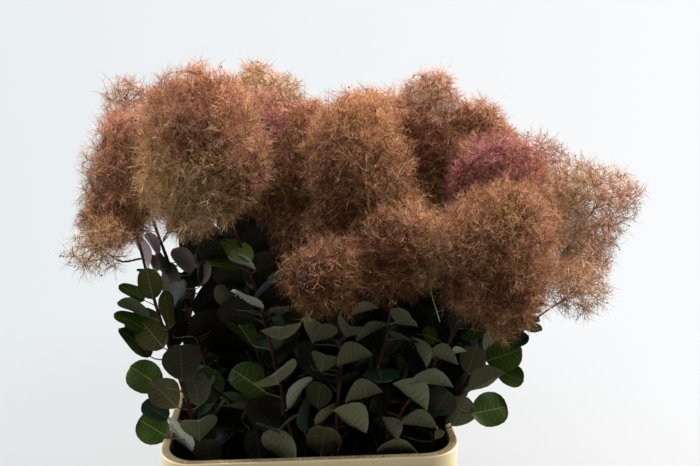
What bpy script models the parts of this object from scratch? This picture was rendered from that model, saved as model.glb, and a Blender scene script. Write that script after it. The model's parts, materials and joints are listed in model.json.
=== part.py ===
"""A smoke bush: a bunch of cut, leafy stems in flower, standing in a tall plastic container.

Run it with blender --background --python part.py, or from Blender's text editor.
Metres, +Z up. The origin is the middle of the container's flat underside, +X runs along the
container's length and -Y is the side that faces the viewer.
"""

import math

import bmesh
import bpy
from mathutils import Vector, noise

# The container, measured over its rim
CONTAINER_LENGTH = 0.385
CONTAINER_WIDTH = 0.285
CONTAINER_HEIGHT = 0.300
CORNER_RADIUS = 0.045
CORNER_STEPS = 5
# How much the corner radius shrinks for each metre that an outline moves inwards
CORNER_SHRINK = 0.6
RIM_WIDTH = 0.011
RIM_SKIRT = 0.050
WALL = 0.003
FLOOR = 0.004
FOOT_INSET = 0.030

# The stems, thickest at the foot, and the side boughs
STEM_FOOT_RADIUS = 0.0040
STEM_NECK_RADIUS = 0.0018
BOUGH_FORK_RADIUS = 0.0015
BOUGH_NECK_RADIUS = 0.0011
STEM_STEPS = 4
BOUGH_STEPS = 4
END_RUN = 0.008
# Where a bough aims from: this share of its way out, and this far below
BOUGH_SWING = 0.3
BOUGH_SAG = 0.02

# Solids that meet keep this gap, and a hole for a stem is wider by the second
GAP = 0.0003
HOLE_CLEARANCE = 0.0004

# The leafy part of a stem
LEAF_REACH = 0.068
LEAF_BOTTOM = 0.258
LEAF_TIP = 0.008
LEAF_LEVEL_STEP = 0.034
LEAF_CLEARANCE = 0.005
LEAF_TO_PLUME = 0.010
LEAF_TO_BOUGH = 0.009
LEAF_BELOW_FORK = 0.012
LEAF_BELOW_NECK = 0.016
LEAF_UNEVEN = 0.3
LEAF_GRAIN_ROUND = 1.6
LEAF_GRAIN_ALONG = 12
# The last ring below the tip has at least this share of the full reach
LEAF_CROWN = 0.45
LEAF_CORE = 0.008
MARCH = 0.003
LEAF_SIDES = 9
# The leaves stay inside the tub up to this far above its rim
MOUTH_LEVEL = 0.009
TUB_DRAFT = (FOOT_INSET - RIM_WIDTH) / CONTAINER_HEIGHT

# The plumes: clouds of fine flower stalks
PLUME_SIDES = 12
PLUME_RINGS = 8
PLUME_UNEVEN = 0.16
PLUME_GRAIN = 1.9
PLUME_GRAIN_SHIFT = 7.3
# Share of its reach at which a plume ends on its stalk, and how near a neighbour counts
NECK_DEPTH = 0.86
PARTING_RANGE = 2.2

# Each plume: centre, half sizes in x, y and z, and its bulges as offset and radius
PLUMES = {
    "left": ((-0.234, -0.006, 0.645), (0.054, 0.060, 0.087), [((-0.008, 0.0, -0.050), 0.044)]),
    "front_left": (
        (-0.115, -0.130, 0.688),
        (0.077, 0.072, 0.103),
        [((-0.022, 0.0, -0.036), 0.064), ((-0.030, 0.0, 0.050), 0.044)],
    ),
    "front_centre": ((0.054, -0.080, 0.658), (0.074, 0.062, 0.103), [((0.020, 0.0, -0.045), 0.056)]),
    "front_right": ((0.228, -0.130, 0.566), (0.078, 0.075, 0.096), [((-0.004, -0.005, -0.050), 0.052)]),
    "right": ((0.400, 0.020, 0.581), (0.065, 0.064, 0.080), [((0.008, 0.0, -0.020), 0.056)]),
    "low_centre": ((0.100, -0.158, 0.571), (0.058, 0.044, 0.066), [((0.0, 0.0, -0.026), 0.040)]),
    "centre_left": ((-0.026, -0.020, 0.641), (0.066, 0.064, 0.102), [((0.010, 0.0, -0.046), 0.054)]),
    "centre_right": ((0.156, -0.004, 0.648), (0.054, 0.052, 0.080), []),
    "pink": ((0.244, -0.030, 0.648), (0.070, 0.060, 0.046), [((-0.016, 0.0, -0.010), 0.046)]),
    "back_left": ((-0.248, 0.100, 0.722), (0.040, 0.040, 0.038), [((0.014, 0.0, -0.018), 0.034)]),
    "back_pale": ((-0.054, 0.118, 0.724), (0.047, 0.050, 0.050), [((0.014, 0.0, -0.020), 0.036)]),
    "back_centre": ((0.173, 0.068, 0.724), (0.048, 0.050, 0.045), [((0.004, 0.0, 0.030), 0.022)]),
    "back_right": ((0.239, 0.080, 0.682), (0.055, 0.056, 0.047), [((0.020, 0.0, -0.016), 0.038)]),
    "far_right": ((0.330, 0.092, 0.636), (0.040, 0.040, 0.042), []),
    "left_low": ((-0.252, -0.092, 0.570), (0.046, 0.040, 0.043), [((-0.008, 0.0, -0.010), 0.034)]),
    "centre_low": ((0.015, -0.172, 0.554), (0.056, 0.040, 0.046), []),
    "right_low": ((0.335, -0.088, 0.504), (0.048, 0.042, 0.048), [((-0.004, 0.0, -0.020), 0.032)]),
    "rear_left": ((-0.160, 0.160, 0.620), (0.082, 0.070, 0.088), [((0.0, 0.0, -0.040), 0.058)]),
    "rear_centre_left": ((-0.018, 0.205, 0.605), (0.074, 0.064, 0.084), [((0.010, 0.0, -0.035), 0.056)]),
    "rear_centre": ((0.108, 0.180, 0.636), (0.070, 0.066, 0.080), [((-0.010, 0.0, -0.040), 0.052)]),
    "rear_right": ((0.224, 0.185, 0.585), (0.072, 0.066, 0.082), [((0.010, 0.0, -0.030), 0.056)]),
    "rear_far_right": ((0.336, 0.156, 0.548), (0.062, 0.058, 0.066), []),
}

# The stem of each plume: where it stands on the floor, where it passes the rim, and how far it
# swings out from the rim before it rises into its plume, as a share of the way
STEMS = {
    "left": ((-0.100, -0.040), (-0.146, -0.080), 0.35),
    "front_left": ((-0.012, -0.062), (-0.024, -0.100), -0.35),
    "front_centre": ((0.030, -0.050), (0.032, -0.093), 0.65),
    "front_right": ((0.062, -0.060), (0.100, -0.098), 0.1),
    "right": ((0.112, -0.040), (0.170, -0.080), 0.0),
    "low_centre": ((0.045, 0.040), (0.070, -0.035), 0.65),
    "centre_left": ((-0.060, -0.030), (-0.080, -0.045), 0.65),
    "centre_right": ((0.085, 0.045), (0.100, 0.020), 0.65),
    "pink": ((0.120, 0.010), (0.145, -0.020), 0.65),
    "back_left": ((-0.105, 0.050), (-0.140, 0.060), 0.65),
    "back_pale": ((-0.070, 0.070), (-0.070, 0.080), 0.65),
    "back_centre": ((-0.020, 0.065), (0.010, 0.085), 0.65),
    "back_right": ((0.030, 0.075), (0.075, 0.095), 0.65),
    "far_right": ((0.095, 0.075), (0.150, 0.085), 0.65),
}

# Each side bough: the stem it leaves, the height of its fork, and how steeply it sets off
BOUGHS = {
    "left_low": ("left", 0.532, 0.1),
    "centre_low": ("front_centre", 0.470, 0.8),
    "right_low": ("right", 0.425, 0.8),
    "rear_left": ("back_left", 0.520, 0.9),
    "rear_centre_left": ("back_pale", 0.490, 0.9),
    "rear_centre": ("back_centre", 0.500, 0.9),
    "rear_right": ("back_right", 0.465, 0.9),
    "rear_far_right": ("far_right", 0.445, 0.9),
}

# Edges sharper than this stay hard
SHARP_ANGLE = math.radians(40)

# Base colour, roughness
COLOURS = {
    "cream_plastic": ((0.62, 0.52, 0.36), 0.45),
    "bark": ((0.17, 0.07, 0.05), 0.7),
    "leaf": ((0.045, 0.075, 0.035), 0.5),
    "smoke": ((0.36, 0.20, 0.15), 0.85),
}


def clear_scene():
    for obj in list(bpy.data.objects):
        bpy.data.objects.remove(obj, do_unlink=True)


def new_collection(name):
    collection = bpy.data.collections.new(name)
    bpy.context.scene.collection.children.link(collection)
    return collection


def new_material(name):
    colour, roughness = COLOURS[name]
    material = bpy.data.materials.new(name)
    material.use_nodes = True
    shader = material.node_tree.nodes["Principled BSDF"]
    shader.inputs["Base Color"].default_value = (*colour, 1.0)
    shader.inputs["Roughness"].default_value = roughness
    shader.inputs["Metallic"].default_value = 0.0
    return material


def add_mesh(name, bm, collection, material):
    mesh = bpy.data.meshes.new(name)
    bm.to_mesh(mesh)
    bm.free()
    mesh.materials.append(material)
    mesh.shade_smooth()
    mesh.set_sharp_from_angle(angle=SHARP_ANGLE)
    obj = bpy.data.objects.new(name, mesh)
    collection.objects.link(obj)
    return obj


def rounded_outline(inset, height):
    """Points of the container's outline at a height, moved inwards by inset."""
    radius = CORNER_RADIUS - inset * CORNER_SHRINK
    along = CONTAINER_LENGTH / 2 - inset - radius
    across = CONTAINER_WIDTH / 2 - inset - radius
    points = []
    for quarter, (sx, sy) in enumerate(((1, 1), (-1, 1), (-1, -1), (1, -1))):
        for step in range(CORNER_STEPS + 1):
            angle = math.radians(90) * (quarter + step / CORNER_STEPS)
            x = sx * along + radius * math.cos(angle)
            y = sy * across + radius * math.sin(angle)
            points.append(Vector((x, y, height)))
    return points


def make_container(collection, material):
    """A tapered tub with rounded corners, lofted through its outline at each level."""
    skirt_foot = CONTAINER_HEIGHT - RIM_SKIRT
    rim_under = CONTAINER_HEIGHT - WALL
    levels = (
        (FOOT_INSET, 0.0),
        (RIM_WIDTH - WALL, rim_under),
        (WALL, rim_under),
        (WALL, skirt_foot),
        (0.0, skirt_foot),
        (0.0, CONTAINER_HEIGHT),
        (RIM_WIDTH, CONTAINER_HEIGHT),
        (FOOT_INSET + WALL, FLOOR),
    )
    bm = bmesh.new()
    rings = [[bm.verts.new(p) for p in rounded_outline(*level)] for level in levels]
    for lower, upper in zip(rings, rings[1:]):
        for i, vert in enumerate(lower):
            following = (i + 1) % len(lower)
            bm.faces.new((vert, lower[following], upper[following], upper[i]))
    bm.faces.new(reversed(rings[0]))
    bm.faces.new(rings[-1])
    bmesh.ops.recalc_face_normals(bm, faces=bm.faces)
    return add_mesh("container", bm, collection, material)


def mouth_inset(point):
    """How far a point lies inside the inner edge of the rim, seen from above; negative outside."""
    half_x = CONTAINER_LENGTH / 2 - RIM_WIDTH
    half_y = CONTAINER_WIDTH / 2 - RIM_WIDTH
    radius = CORNER_RADIUS - RIM_WIDTH * CORNER_SHRINK
    over_x = max(abs(point.x) - (half_x - radius), 0.0)
    over_y = max(abs(point.y) - (half_y - radius), 0.0)
    to_sides = min(half_x - abs(point.x), half_y - abs(point.y))
    if over_x > 0 and over_y > 0:
        return radius - math.hypot(over_x, over_y)
    return to_sides


def ball_exit(offset, radii, direction):
    """How far a ray from the origin runs before it leaves an ellipsoid at offset, or 0."""
    d = Vector(direction[k] / radii[k] for k in range(3))
    o = Vector(-offset[k] / radii[k] for k in range(3))
    a, b, c = d.dot(d), 2 * d.dot(o), o.dot(o) - 1
    inside = b * b - 4 * a * c
    return (-b + math.sqrt(inside)) / (2 * a) if inside > 0 else 0.0


def plume_reach(name, direction):
    """Distance from the plume's centre to its even surface in a direction."""
    _, radii, bulges = PLUMES[name]
    reach = ball_exit((0, 0, 0), radii, direction)
    for offset, radius in bulges:
        reach = max(reach, ball_exit(offset, (radius,) * 3, direction))
    return reach


def inside_plume(point, margin):
    """The plume that holds the point or lies within the margin of it, or None."""
    for name, (centre, _, _) in PLUMES.items():
        away = point - Vector(centre)
        if away.length < plume_reach(name, away.normalized()) * (1 + PLUME_UNEVEN / 2) + margin:
            return name
    return None


def neck_of(name, came_from):
    """Where a limb coming from a point meets the plume, and the way it goes in."""
    centre = Vector(PLUMES[name][0])
    into = (centre - came_from).normalized()
    return centre - into * plume_reach(name, -into) * NECK_DEPTH, into


def hermite(a, b, leave_a, reach_b, steps):
    """Points after a, up to and with b, on the smooth curve with those end directions."""
    points = []
    for step in range(1, steps + 1):
        t = step / steps
        t2, t3 = t * t, t * t * t
        points.append(
            a * (2 * t3 - 3 * t2 + 1)
            + leave_a * (t3 - 2 * t2 + t)
            + b * (-2 * t3 + 3 * t2)
            + reach_b * (t3 - t2)
        )
    return points


def stem_path(name):
    """The stem's centreline, from its flat cut on the floor to the neck of its plume."""
    (foot_x, foot_y), (rim_x, rim_y), swing = STEMS[name]
    foot = Vector((foot_x, foot_y, FLOOR + GAP))
    foot_end = foot + Vector((0, 0, END_RUN))
    rim = Vector((rim_x, rim_y, CONTAINER_HEIGHT))
    centre = Vector(PLUMES[name][0])
    # The limb comes up from below its plume and outwards from the rim
    approach = rim.lerp(centre, swing)
    approach.z = rim.z
    neck, into = neck_of(name, approach)
    neck_start = neck - into * (END_RUN + GAP)
    low = rim - foot_end
    high = neck_start - rim
    at_rim = (low.normalized() + high.normalized()).normalized()
    path = [foot, foot_end]
    path += hermite(foot_end, rim, low, at_rim * low.length, STEM_STEPS)
    path += hermite(rim, neck_start, at_rim * high.length, into * high.length, STEM_STEPS)
    path.append(neck - into * GAP)
    return path, (neck, into)


def at_height(path, height):
    """The point of a rising path at a height, held at its ends."""
    for a, b in zip(path, path[1:]):
        if b.z >= height:
            share = (height - a.z) / max(b.z - a.z, 1e-9)
            return a.lerp(b, min(max(share, 0.0), 1.0))
    return path[-1].copy()


def radius_at(path, height):
    share = (height - path[0].z) / (path[-1].z - path[0].z)
    return STEM_FOOT_RADIUS + (STEM_NECK_RADIUS - STEM_FOOT_RADIUS) * share


def bough_path(name, stem_paths):
    """A side bough's centreline, from beside its stem to the neck of its plume."""
    stem_name, fork_height, rise = BOUGHS[name]
    stem = stem_paths[stem_name]
    fork = at_height(stem, fork_height)
    up = (at_height(stem, fork_height + 0.01) - at_height(stem, fork_height - 0.01)).normalized()
    centre = Vector(PLUMES[name][0])
    out = centre - fork
    out = (out - up * out.dot(up)).normalized()
    leave = (out + up * rise).normalized()
    slant = leave.angle(up)
    reach = radius_at(stem, fork_height) + GAP + BOUGH_FORK_RADIUS * math.cos(slant)
    start = fork + leave * (reach / math.sin(slant))
    neck, into = neck_of(name, start.lerp(centre, BOUGH_SWING) - Vector((0, 0, BOUGH_SAG)))
    neck_start = neck - into * (END_RUN / 2 + GAP)
    span = (neck_start - start).length
    first = start + leave * END_RUN / 2
    path = [start, first]
    path += hermite(first, neck_start, leave * span, into * span, BOUGH_STEPS)
    path.append(neck - into * GAP)
    return path, (neck, into)


def make_limb(name, path, foot_radius, neck_radius, collection, material):
    """A tapering limb along a path, with flat cut ends."""
    curve = bpy.data.curves.new(name, "CURVE")
    curve.dimensions = "3D"
    curve.bevel_depth = foot_radius
    curve.bevel_resolution = 1
    curve.use_fill_caps = True
    spline = curve.splines.new("POLY")
    spline.points.add(len(path) - 1)
    lengths = [0.0]
    for a, b in zip(path, path[1:]):
        lengths.append(lengths[-1] + (b - a).length)
    for point, place, run in zip(spline.points, path, lengths):
        share = run / lengths[-1]
        point.co = (*place, 1.0)
        point.radius = 1 + (neck_radius / foot_radius - 1) * share
    curve.materials.append(material)
    obj = bpy.data.objects.new(name, curve)
    collection.objects.link(obj)
    return obj


def as_cutter(limb, name, clearance, collection):
    """A mesh copy of a stem, thicker by at least the clearance all along."""
    thick = limb.data.copy()
    thick.bevel_depth = limb.data.bevel_depth * (1 + clearance / STEM_NECK_RADIUS)
    helper = bpy.data.objects.new(name + "_curve", thick)
    bpy.context.scene.collection.objects.link(helper)
    bpy.context.view_layer.update()
    evaluated = helper.evaluated_get(bpy.context.evaluated_depsgraph_get())
    mesh = bpy.data.meshes.new_from_object(evaluated)
    bm = bmesh.new()
    bm.from_mesh(mesh)
    bmesh.ops.remove_doubles(bm, verts=bm.verts, dist=1e-5)
    bm.to_mesh(mesh)
    bm.free()
    cutter = bpy.data.objects.new(name, mesh)
    cutter.matrix_world = helper.matrix_world
    collection.objects.link(cutter)
    bpy.data.objects.remove(helper)
    cutter.hide_render = True
    cutter.display_type = "WIRE"
    return cutter


def leaf_blocked(point, name, stem_paths):
    """Whether a point of this stem's leaf mass would enter a neighbour's space."""
    own = at_height(stem_paths[name], point.z)
    for other, path in stem_paths.items():
        if other == name:
            continue
        between = at_height(path, point.z) - own
        between.z = 0
        if (point - own).dot(between.normalized()) > between.length / 2 - LEAF_CLEARANCE:
            return True
    if point.z < CONTAINER_HEIGHT + MOUTH_LEVEL + 1e-6:
        if mouth_inset(point) < LEAF_CLEARANCE + (CONTAINER_HEIGHT - point.z) * TUB_DRAFT:
            return True
    return inside_plume(point, LEAF_TO_PLUME) is not None


def bough_limit(axis, outwards, bough_paths):
    """How far leaves may reach in a direction before a bough that passes there."""
    limit = LEAF_REACH * 2
    sector = math.cos(math.radians(360 / LEAF_SIDES))
    for path in bough_paths.values():
        for a, b in zip(path, path[1:]):
            for share in (0.0, 0.25, 0.5, 0.75, 1.0):
                away = a.lerp(b, share) - axis
                if abs(away.z) > LEAF_LEVEL_STEP:
                    continue
                away.z = 0
                if away.dot(outwards) > away.length * sector:
                    limit = min(limit, away.length - LEAF_TO_BOUGH)
    return limit


def leaf_levels(name, stem_paths):
    """The heights of a leaf mass's rings and its tip. All the masses share the same levels."""
    path = stem_paths[name]
    top = path[-1].z - LEAF_BELOW_NECK
    for stem_name, fork_height, _ in BOUGHS.values():
        if stem_name == name:
            top = min(top, fork_height - LEAF_BELOW_FORK)
    height = CONTAINER_HEIGHT + MOUTH_LEVEL
    while height < top and not leaf_blocked(at_height(path, height), name, stem_paths):
        height += MARCH
    top = height - MARCH
    heights = [LEAF_BOTTOM, LEAF_BOTTOM + LEAF_TIP, CONTAINER_HEIGHT + MOUTH_LEVEL]
    while heights[-1] + LEAF_LEVEL_STEP < top - LEAF_TIP:
        heights.append(heights[-1] + LEAF_LEVEL_STEP)
    return heights + [top]


def make_leaf_mass(name, stem_paths, bough_paths, cutter, collection, material):
    """An uneven sleeve of foliage round one stem, pressed flat where it meets its neighbours."""
    path = stem_paths[name]
    heights = leaf_levels(name, stem_paths)
    last = len(heights) - 1
    bm = bmesh.new()
    bmesh.ops.create_uvsphere(bm, u_segments=LEAF_SIDES, v_segments=last, radius=1.0)
    for vert in bm.verts:
        unit = vert.co.copy()
        level = round((1 - math.acos(max(-1.0, min(1.0, unit.z))) / math.pi) * last)
        axis = at_height(path, heights[level])
        axis.z = heights[level]
        if level in (0, last):
            vert.co = axis
            continue
        outwards = Vector((unit.x, unit.y, 0.0)).normalized()
        grain = noise.noise(outwards * LEAF_GRAIN_ROUND + axis * LEAF_GRAIN_ALONG)
        reach = LEAF_REACH * (1 + LEAF_UNEVEN * grain)
        if level == last - 1:
            below_tip = (heights[last] - heights[level]) / LEAF_LEVEL_STEP
            reach *= min(1.0, LEAF_CROWN + below_tip / 2)
        reach = min(reach, bough_limit(axis, outwards, bough_paths))
        radius = LEAF_CORE
        while radius + MARCH < reach:
            if leaf_blocked(axis + outwards * (radius + MARCH), name, stem_paths):
                break
            radius += MARCH
        vert.co = axis + outwards * radius
    bmesh.ops.recalc_face_normals(bm, faces=bm.faces)
    obj = add_mesh("leaves_" + name, bm, collection, material)
    cut = obj.modifiers.new("stem hole", "BOOLEAN")
    cut.operation = "DIFFERENCE"
    cut.solver = "EXACT"
    cut.object = cutter
    return obj


def parting_planes(name):
    """(distance, direction) of the planes that part this plume from the ones it meets."""
    centre = Vector(PLUMES[name][0])
    planes = []
    for other in PLUMES:
        if other == name:
            continue
        away = Vector(PLUMES[other][0]) - centre
        towards = away.normalized()
        uneven = 1 + PLUME_UNEVEN
        mine = plume_reach(name, towards) * uneven
        theirs = plume_reach(other, -towards) * uneven
        if away.length < PARTING_RANGE * max(mine, theirs):
            planes.append((away.length * mine / (mine + theirs) - GAP, towards))
    return planes


def make_plume(index, name, neck, collection, material):
    """A cloud of flower stalks: an uneven ball with bulges, flat where it meets its neighbours and neck."""
    centre = Vector(PLUMES[name][0])
    planes = parting_planes(name)
    neck_point, into = neck
    planes.append(((centre - neck_point).dot(into), -into))
    bm = bmesh.new()
    bmesh.ops.create_uvsphere(bm, u_segments=PLUME_SIDES, v_segments=PLUME_RINGS, radius=1.0)
    for vert in bm.verts:
        direction = vert.co.normalized()
        grain = noise.noise(direction * PLUME_GRAIN + Vector((index * PLUME_GRAIN_SHIFT, 0, 0)))
        reach = plume_reach(name, direction) * (1 + PLUME_UNEVEN * grain)
        for distance, towards in planes:
            slant = direction.dot(towards)
            if slant > 1e-6:
                reach = min(reach, distance / slant)
        vert.co = centre + direction * reach
    bmesh.ops.recalc_face_normals(bm, faces=bm.faces)
    return add_mesh("plume_" + name, bm, collection, material)


def main():
    clear_scene()
    bush = new_collection("smoke bush")
    cutters = new_collection("cutters")
    materials = {name: new_material(name) for name in COLOURS}
    make_container(bush, materials["cream_plastic"])

    necks, stem_paths, bough_paths = {}, {}, {}
    for name in STEMS:
        stem_paths[name], necks[name] = stem_path(name)
    for name in BOUGHS:
        bough_paths[name], necks[name] = bough_path(name, stem_paths)

    for name, path in stem_paths.items():
        stem = make_limb(
            "stem_" + name, path, STEM_FOOT_RADIUS, STEM_NECK_RADIUS, bush, materials["bark"]
        )
        cutter = as_cutter(stem, "hole_" + name, HOLE_CLEARANCE, cutters)
        make_leaf_mass(name, stem_paths, bough_paths, cutter, bush, materials["leaf"])
    for name, path in bough_paths.items():
        make_limb(
            "bough_" + name, path, BOUGH_FORK_RADIUS, BOUGH_NECK_RADIUS, bush, materials["bark"]
        )
    for index, name in enumerate(PLUMES):
        make_plume(index, name, necks[name], bush, materials["smoke"])


main()
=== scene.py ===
"""The looks of a smoke bush in flower: cut, leafy stems with hazy plumes in a cream plastic container.

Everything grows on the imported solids: bark follows each stem, leaves spiral up the stem about their
mass, and each plume is a branching flower head whose fine hairs end near its solid's surface.
"""

import json
import math

import bmesh
import bpy
import numpy as np
from mathutils import Euler, Matrix, Vector
from mathutils.bvhtree import BVHTree

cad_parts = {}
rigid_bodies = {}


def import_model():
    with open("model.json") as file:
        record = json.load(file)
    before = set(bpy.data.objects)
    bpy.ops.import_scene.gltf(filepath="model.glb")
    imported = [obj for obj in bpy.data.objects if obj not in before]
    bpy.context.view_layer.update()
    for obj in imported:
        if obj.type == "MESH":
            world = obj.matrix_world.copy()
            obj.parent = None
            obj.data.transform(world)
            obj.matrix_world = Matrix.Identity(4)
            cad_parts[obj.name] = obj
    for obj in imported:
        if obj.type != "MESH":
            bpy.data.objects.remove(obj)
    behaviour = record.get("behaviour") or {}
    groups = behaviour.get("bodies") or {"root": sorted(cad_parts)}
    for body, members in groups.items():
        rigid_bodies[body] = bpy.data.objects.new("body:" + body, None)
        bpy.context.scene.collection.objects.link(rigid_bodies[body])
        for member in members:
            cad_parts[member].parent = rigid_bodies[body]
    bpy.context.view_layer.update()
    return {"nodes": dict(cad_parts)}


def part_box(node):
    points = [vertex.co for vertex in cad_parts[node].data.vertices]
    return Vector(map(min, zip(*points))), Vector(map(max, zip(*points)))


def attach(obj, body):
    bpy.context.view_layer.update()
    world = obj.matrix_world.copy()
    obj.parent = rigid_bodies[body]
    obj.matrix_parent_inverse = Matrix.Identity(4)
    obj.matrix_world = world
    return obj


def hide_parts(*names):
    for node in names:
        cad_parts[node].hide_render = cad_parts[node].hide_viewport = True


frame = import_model()
NODES = frame["nodes"]

# The camera stands in front of the bush and looks down on it
CAMERA_PLACE = (-0.0064, -1.0296, 0.837)
CAMERA_PITCH = math.radians(15.3)
CAMERA_HEADING = math.radians(3.53)
CAMERA_LENS = 41.1
CAMERA_SENSOR = 36

# Area lights: place, aim, width and height, power and colour. They light the bush softly from above and
# behind, more from the right, and little from the front.
LIGHT_AIM = (0.05, 0.0, 0.55)
LIGHTS = {
    "top": ((0.1, 0.45, 2.4), LIGHT_AIM, (2.2, 1.6), 90, (1.0, 0.98, 0.96)),
    "right": ((2.0, 0.5, 1.2), LIGHT_AIM, (1.4, 1.6), 105, (1.0, 0.98, 0.96)),
    "left": ((-2.0, 0.4, 1.2), LIGHT_AIM, (1.4, 1.6), 52, (0.95, 0.98, 1.0)),
    "front": ((-0.3, -1.5, 2.6), LIGHT_AIM, (1.2, 0.9), 14, (1.0, 0.97, 0.94)),
    "low": ((0.1, -1.9, 0.45), (0.02, -0.1, 0.28), (1.6, 0.7), 4.6, (1.0, 0.93, 0.76)),
}

# The surround and the floor that fades into it
SKY_LEFT = (0.80, 0.845, 0.865, 1)
SKY_RIGHT = (0.955, 0.965, 0.985, 1)
SKY_SPREAD = 0.45
SKY_LIGHT = (0.93, 0.96, 1.0, 1)
SKY_LIGHT_STRENGTH = 0.06
FLOOR_RADIUS = 60.0
FLOOR_COLOUR = (0.17, 0.17, 0.17, 1)
FLOOR_GLOW = 0.42
FLOOR_FADE = (0.35, 1.5)

# Random seeds. Where pieces or shapes are numbered, their number is added.
STEM_BARK_SEED = 10
BOUGH_BARK_SEED = 40
PIP_SEED = 61
LEAF_SHAPE_SEED = 40
SPIRAL_SEED = 70
SEEN_LEAF_SEED = 900
HAIR_SHAPE_SEED = 90
OUTLINE_SEED = 150
LITRE_SEED = 17
PLUME_SEED = 200
SEED_SHAPE_SEED = 120
SEED_TINT_SEED = 333

# Slices of a limb's solid, by which its path is found
STEM_SLICES = 60
BOUGH_SLICES = 16

# Bark: rings of corners just under a limb's surface, with a leaf scar on every fourth ring
BARK_SIDES = 12
BARK_STEP = 0.003
BARK_SHARE = 0.985
BARK_UNEVEN = 0.000077
SCAR_SWELL = 0.00045
SCAR_EVERY = 4

# The container, measured from its rim's outer edge: its land is the rim's flat top
TUB_WALL = 0.003
TUB_FLOOR = 0.004
TUB_LAND = 0.0085
TUB_SKIRT = 0.050
TUB_SOFT_EDGE = 0.0016
TUB_FOOT_INSET = 0.030
TUB_CORNER = 0.045
# How much its corners tighten with the inset, and the tightest they get
CORNER_SHRINK = 0.6
TIGHTEST_CORNER = 0.01
CORNER_STEPS = 14
SIDE_STEPS = 10
SHARP_EDGE = math.radians(50)

# Pips along the container's rim, at a share of its land's width: some are worn away
PIP_PLACE = 0.58
PIP_SPACING = 0.0065
PIP_SHARE = 0.62
PIP_JITTER = 0.0004
PIP_SIZES = (0.0020, 0.0030)

# Leaves: a stalk, then a blade, both along the leaf's own X
LEAF_STALK = 0.017
LEAF_LENGTH = 0.048
LEAF_WIDTH = 0.041
LEAF_THICKNESS = 0.0004
LEAF_STALK_RADIUS = 0.0008

# Leaf shapes: nearly flat ones, then folded ones, then curved ones
FLAT_SHAPES = 5
FOLDED_SHAPES = 3
LEAF_SHAPES = 12
# How much each kind folds, droops and twists, at least and at most
FLAT_FORM = ((0.08, 0.22), (0.0, 0.32), (-0.22, 0.22))
FOLDED_FORM = ((0.40, 0.60), (0.1, 0.5), (-0.35, 0.35))
CURVED_FORM = ((0.10, 0.40), (0.05, 0.55), (-0.5, 0.5))
# How high a leaf's edge ruffles, its breadth as a share of the usual, and how much one half is broader
LEAF_RUFFLES = (0.0008, 0.0020)
LEAF_BREADTHS = (0.94, 1.06)
LEAF_LEANS = (-0.12, 0.12)
# How full the outline is along the leaf, and how pointed its ends are
FOLDED_OUTLINE = (1.75, 0.68)
USUAL_OUTLINE = (2.4, 0.5)
# A leaf's grid: shares of its length, then of its half width
LEAF_ROWS = (0.0, 0.05, 0.15, 0.30, 0.46, 0.62, 0.78, 0.90, 0.97, 1.0)
LEAF_COLUMNS = (-1.0, -0.6, 0.0, 0.6, 1.0)
# Veins: where side veins leave the midrib, then half the widths and the rises, above and below
SIDE_VEINS = (0.10, 0.22, 0.35, 0.48, 0.61, 0.74)
MIDRIB_WIDTHS = (0.00055, 0.00070)
SIDE_VEIN_WIDTHS = (0.00026, 0.00055)
VEIN_RISES = (0.00018, 0.00022)
# The parts of a leaf, in the order of their materials; the last is the underside's side veins, painted
# darker as painted shade beside their ridges
UPPER, UNDER, MIDRIB, SIDE_VEIN, PAINTED_VEIN_SHADE = range(5)

# The spiral of leaves up a stem
LEAF_SPACING = 0.0041
GOLDEN_TURN = math.radians(137.5)
TURN_JITTER = 0.18
HEIGHT_JITTER = 0.0012
LEAF_SIZES = (0.88, 1.12)
LEAF_RISES = (0.55, 1.15)
LEAF_SPIN = 0.35
BARK_GAP = 0.0022
HIGH_LEAVES_SKIPPED = 0.2
# The spiral starts this far above a leaf mass's foot, and gets thinner from this far above its top
SPIRAL_FOOT = 0.004
SPIRAL_TOP = 0.006
# The container's wall and lip, which leaves clear, and how far out of a plume they stay, where 1 is the
# middle of its box's sides
WALL_CLEARANCE = 0.017
PLUME_CLEARANCE = 1.02

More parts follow.
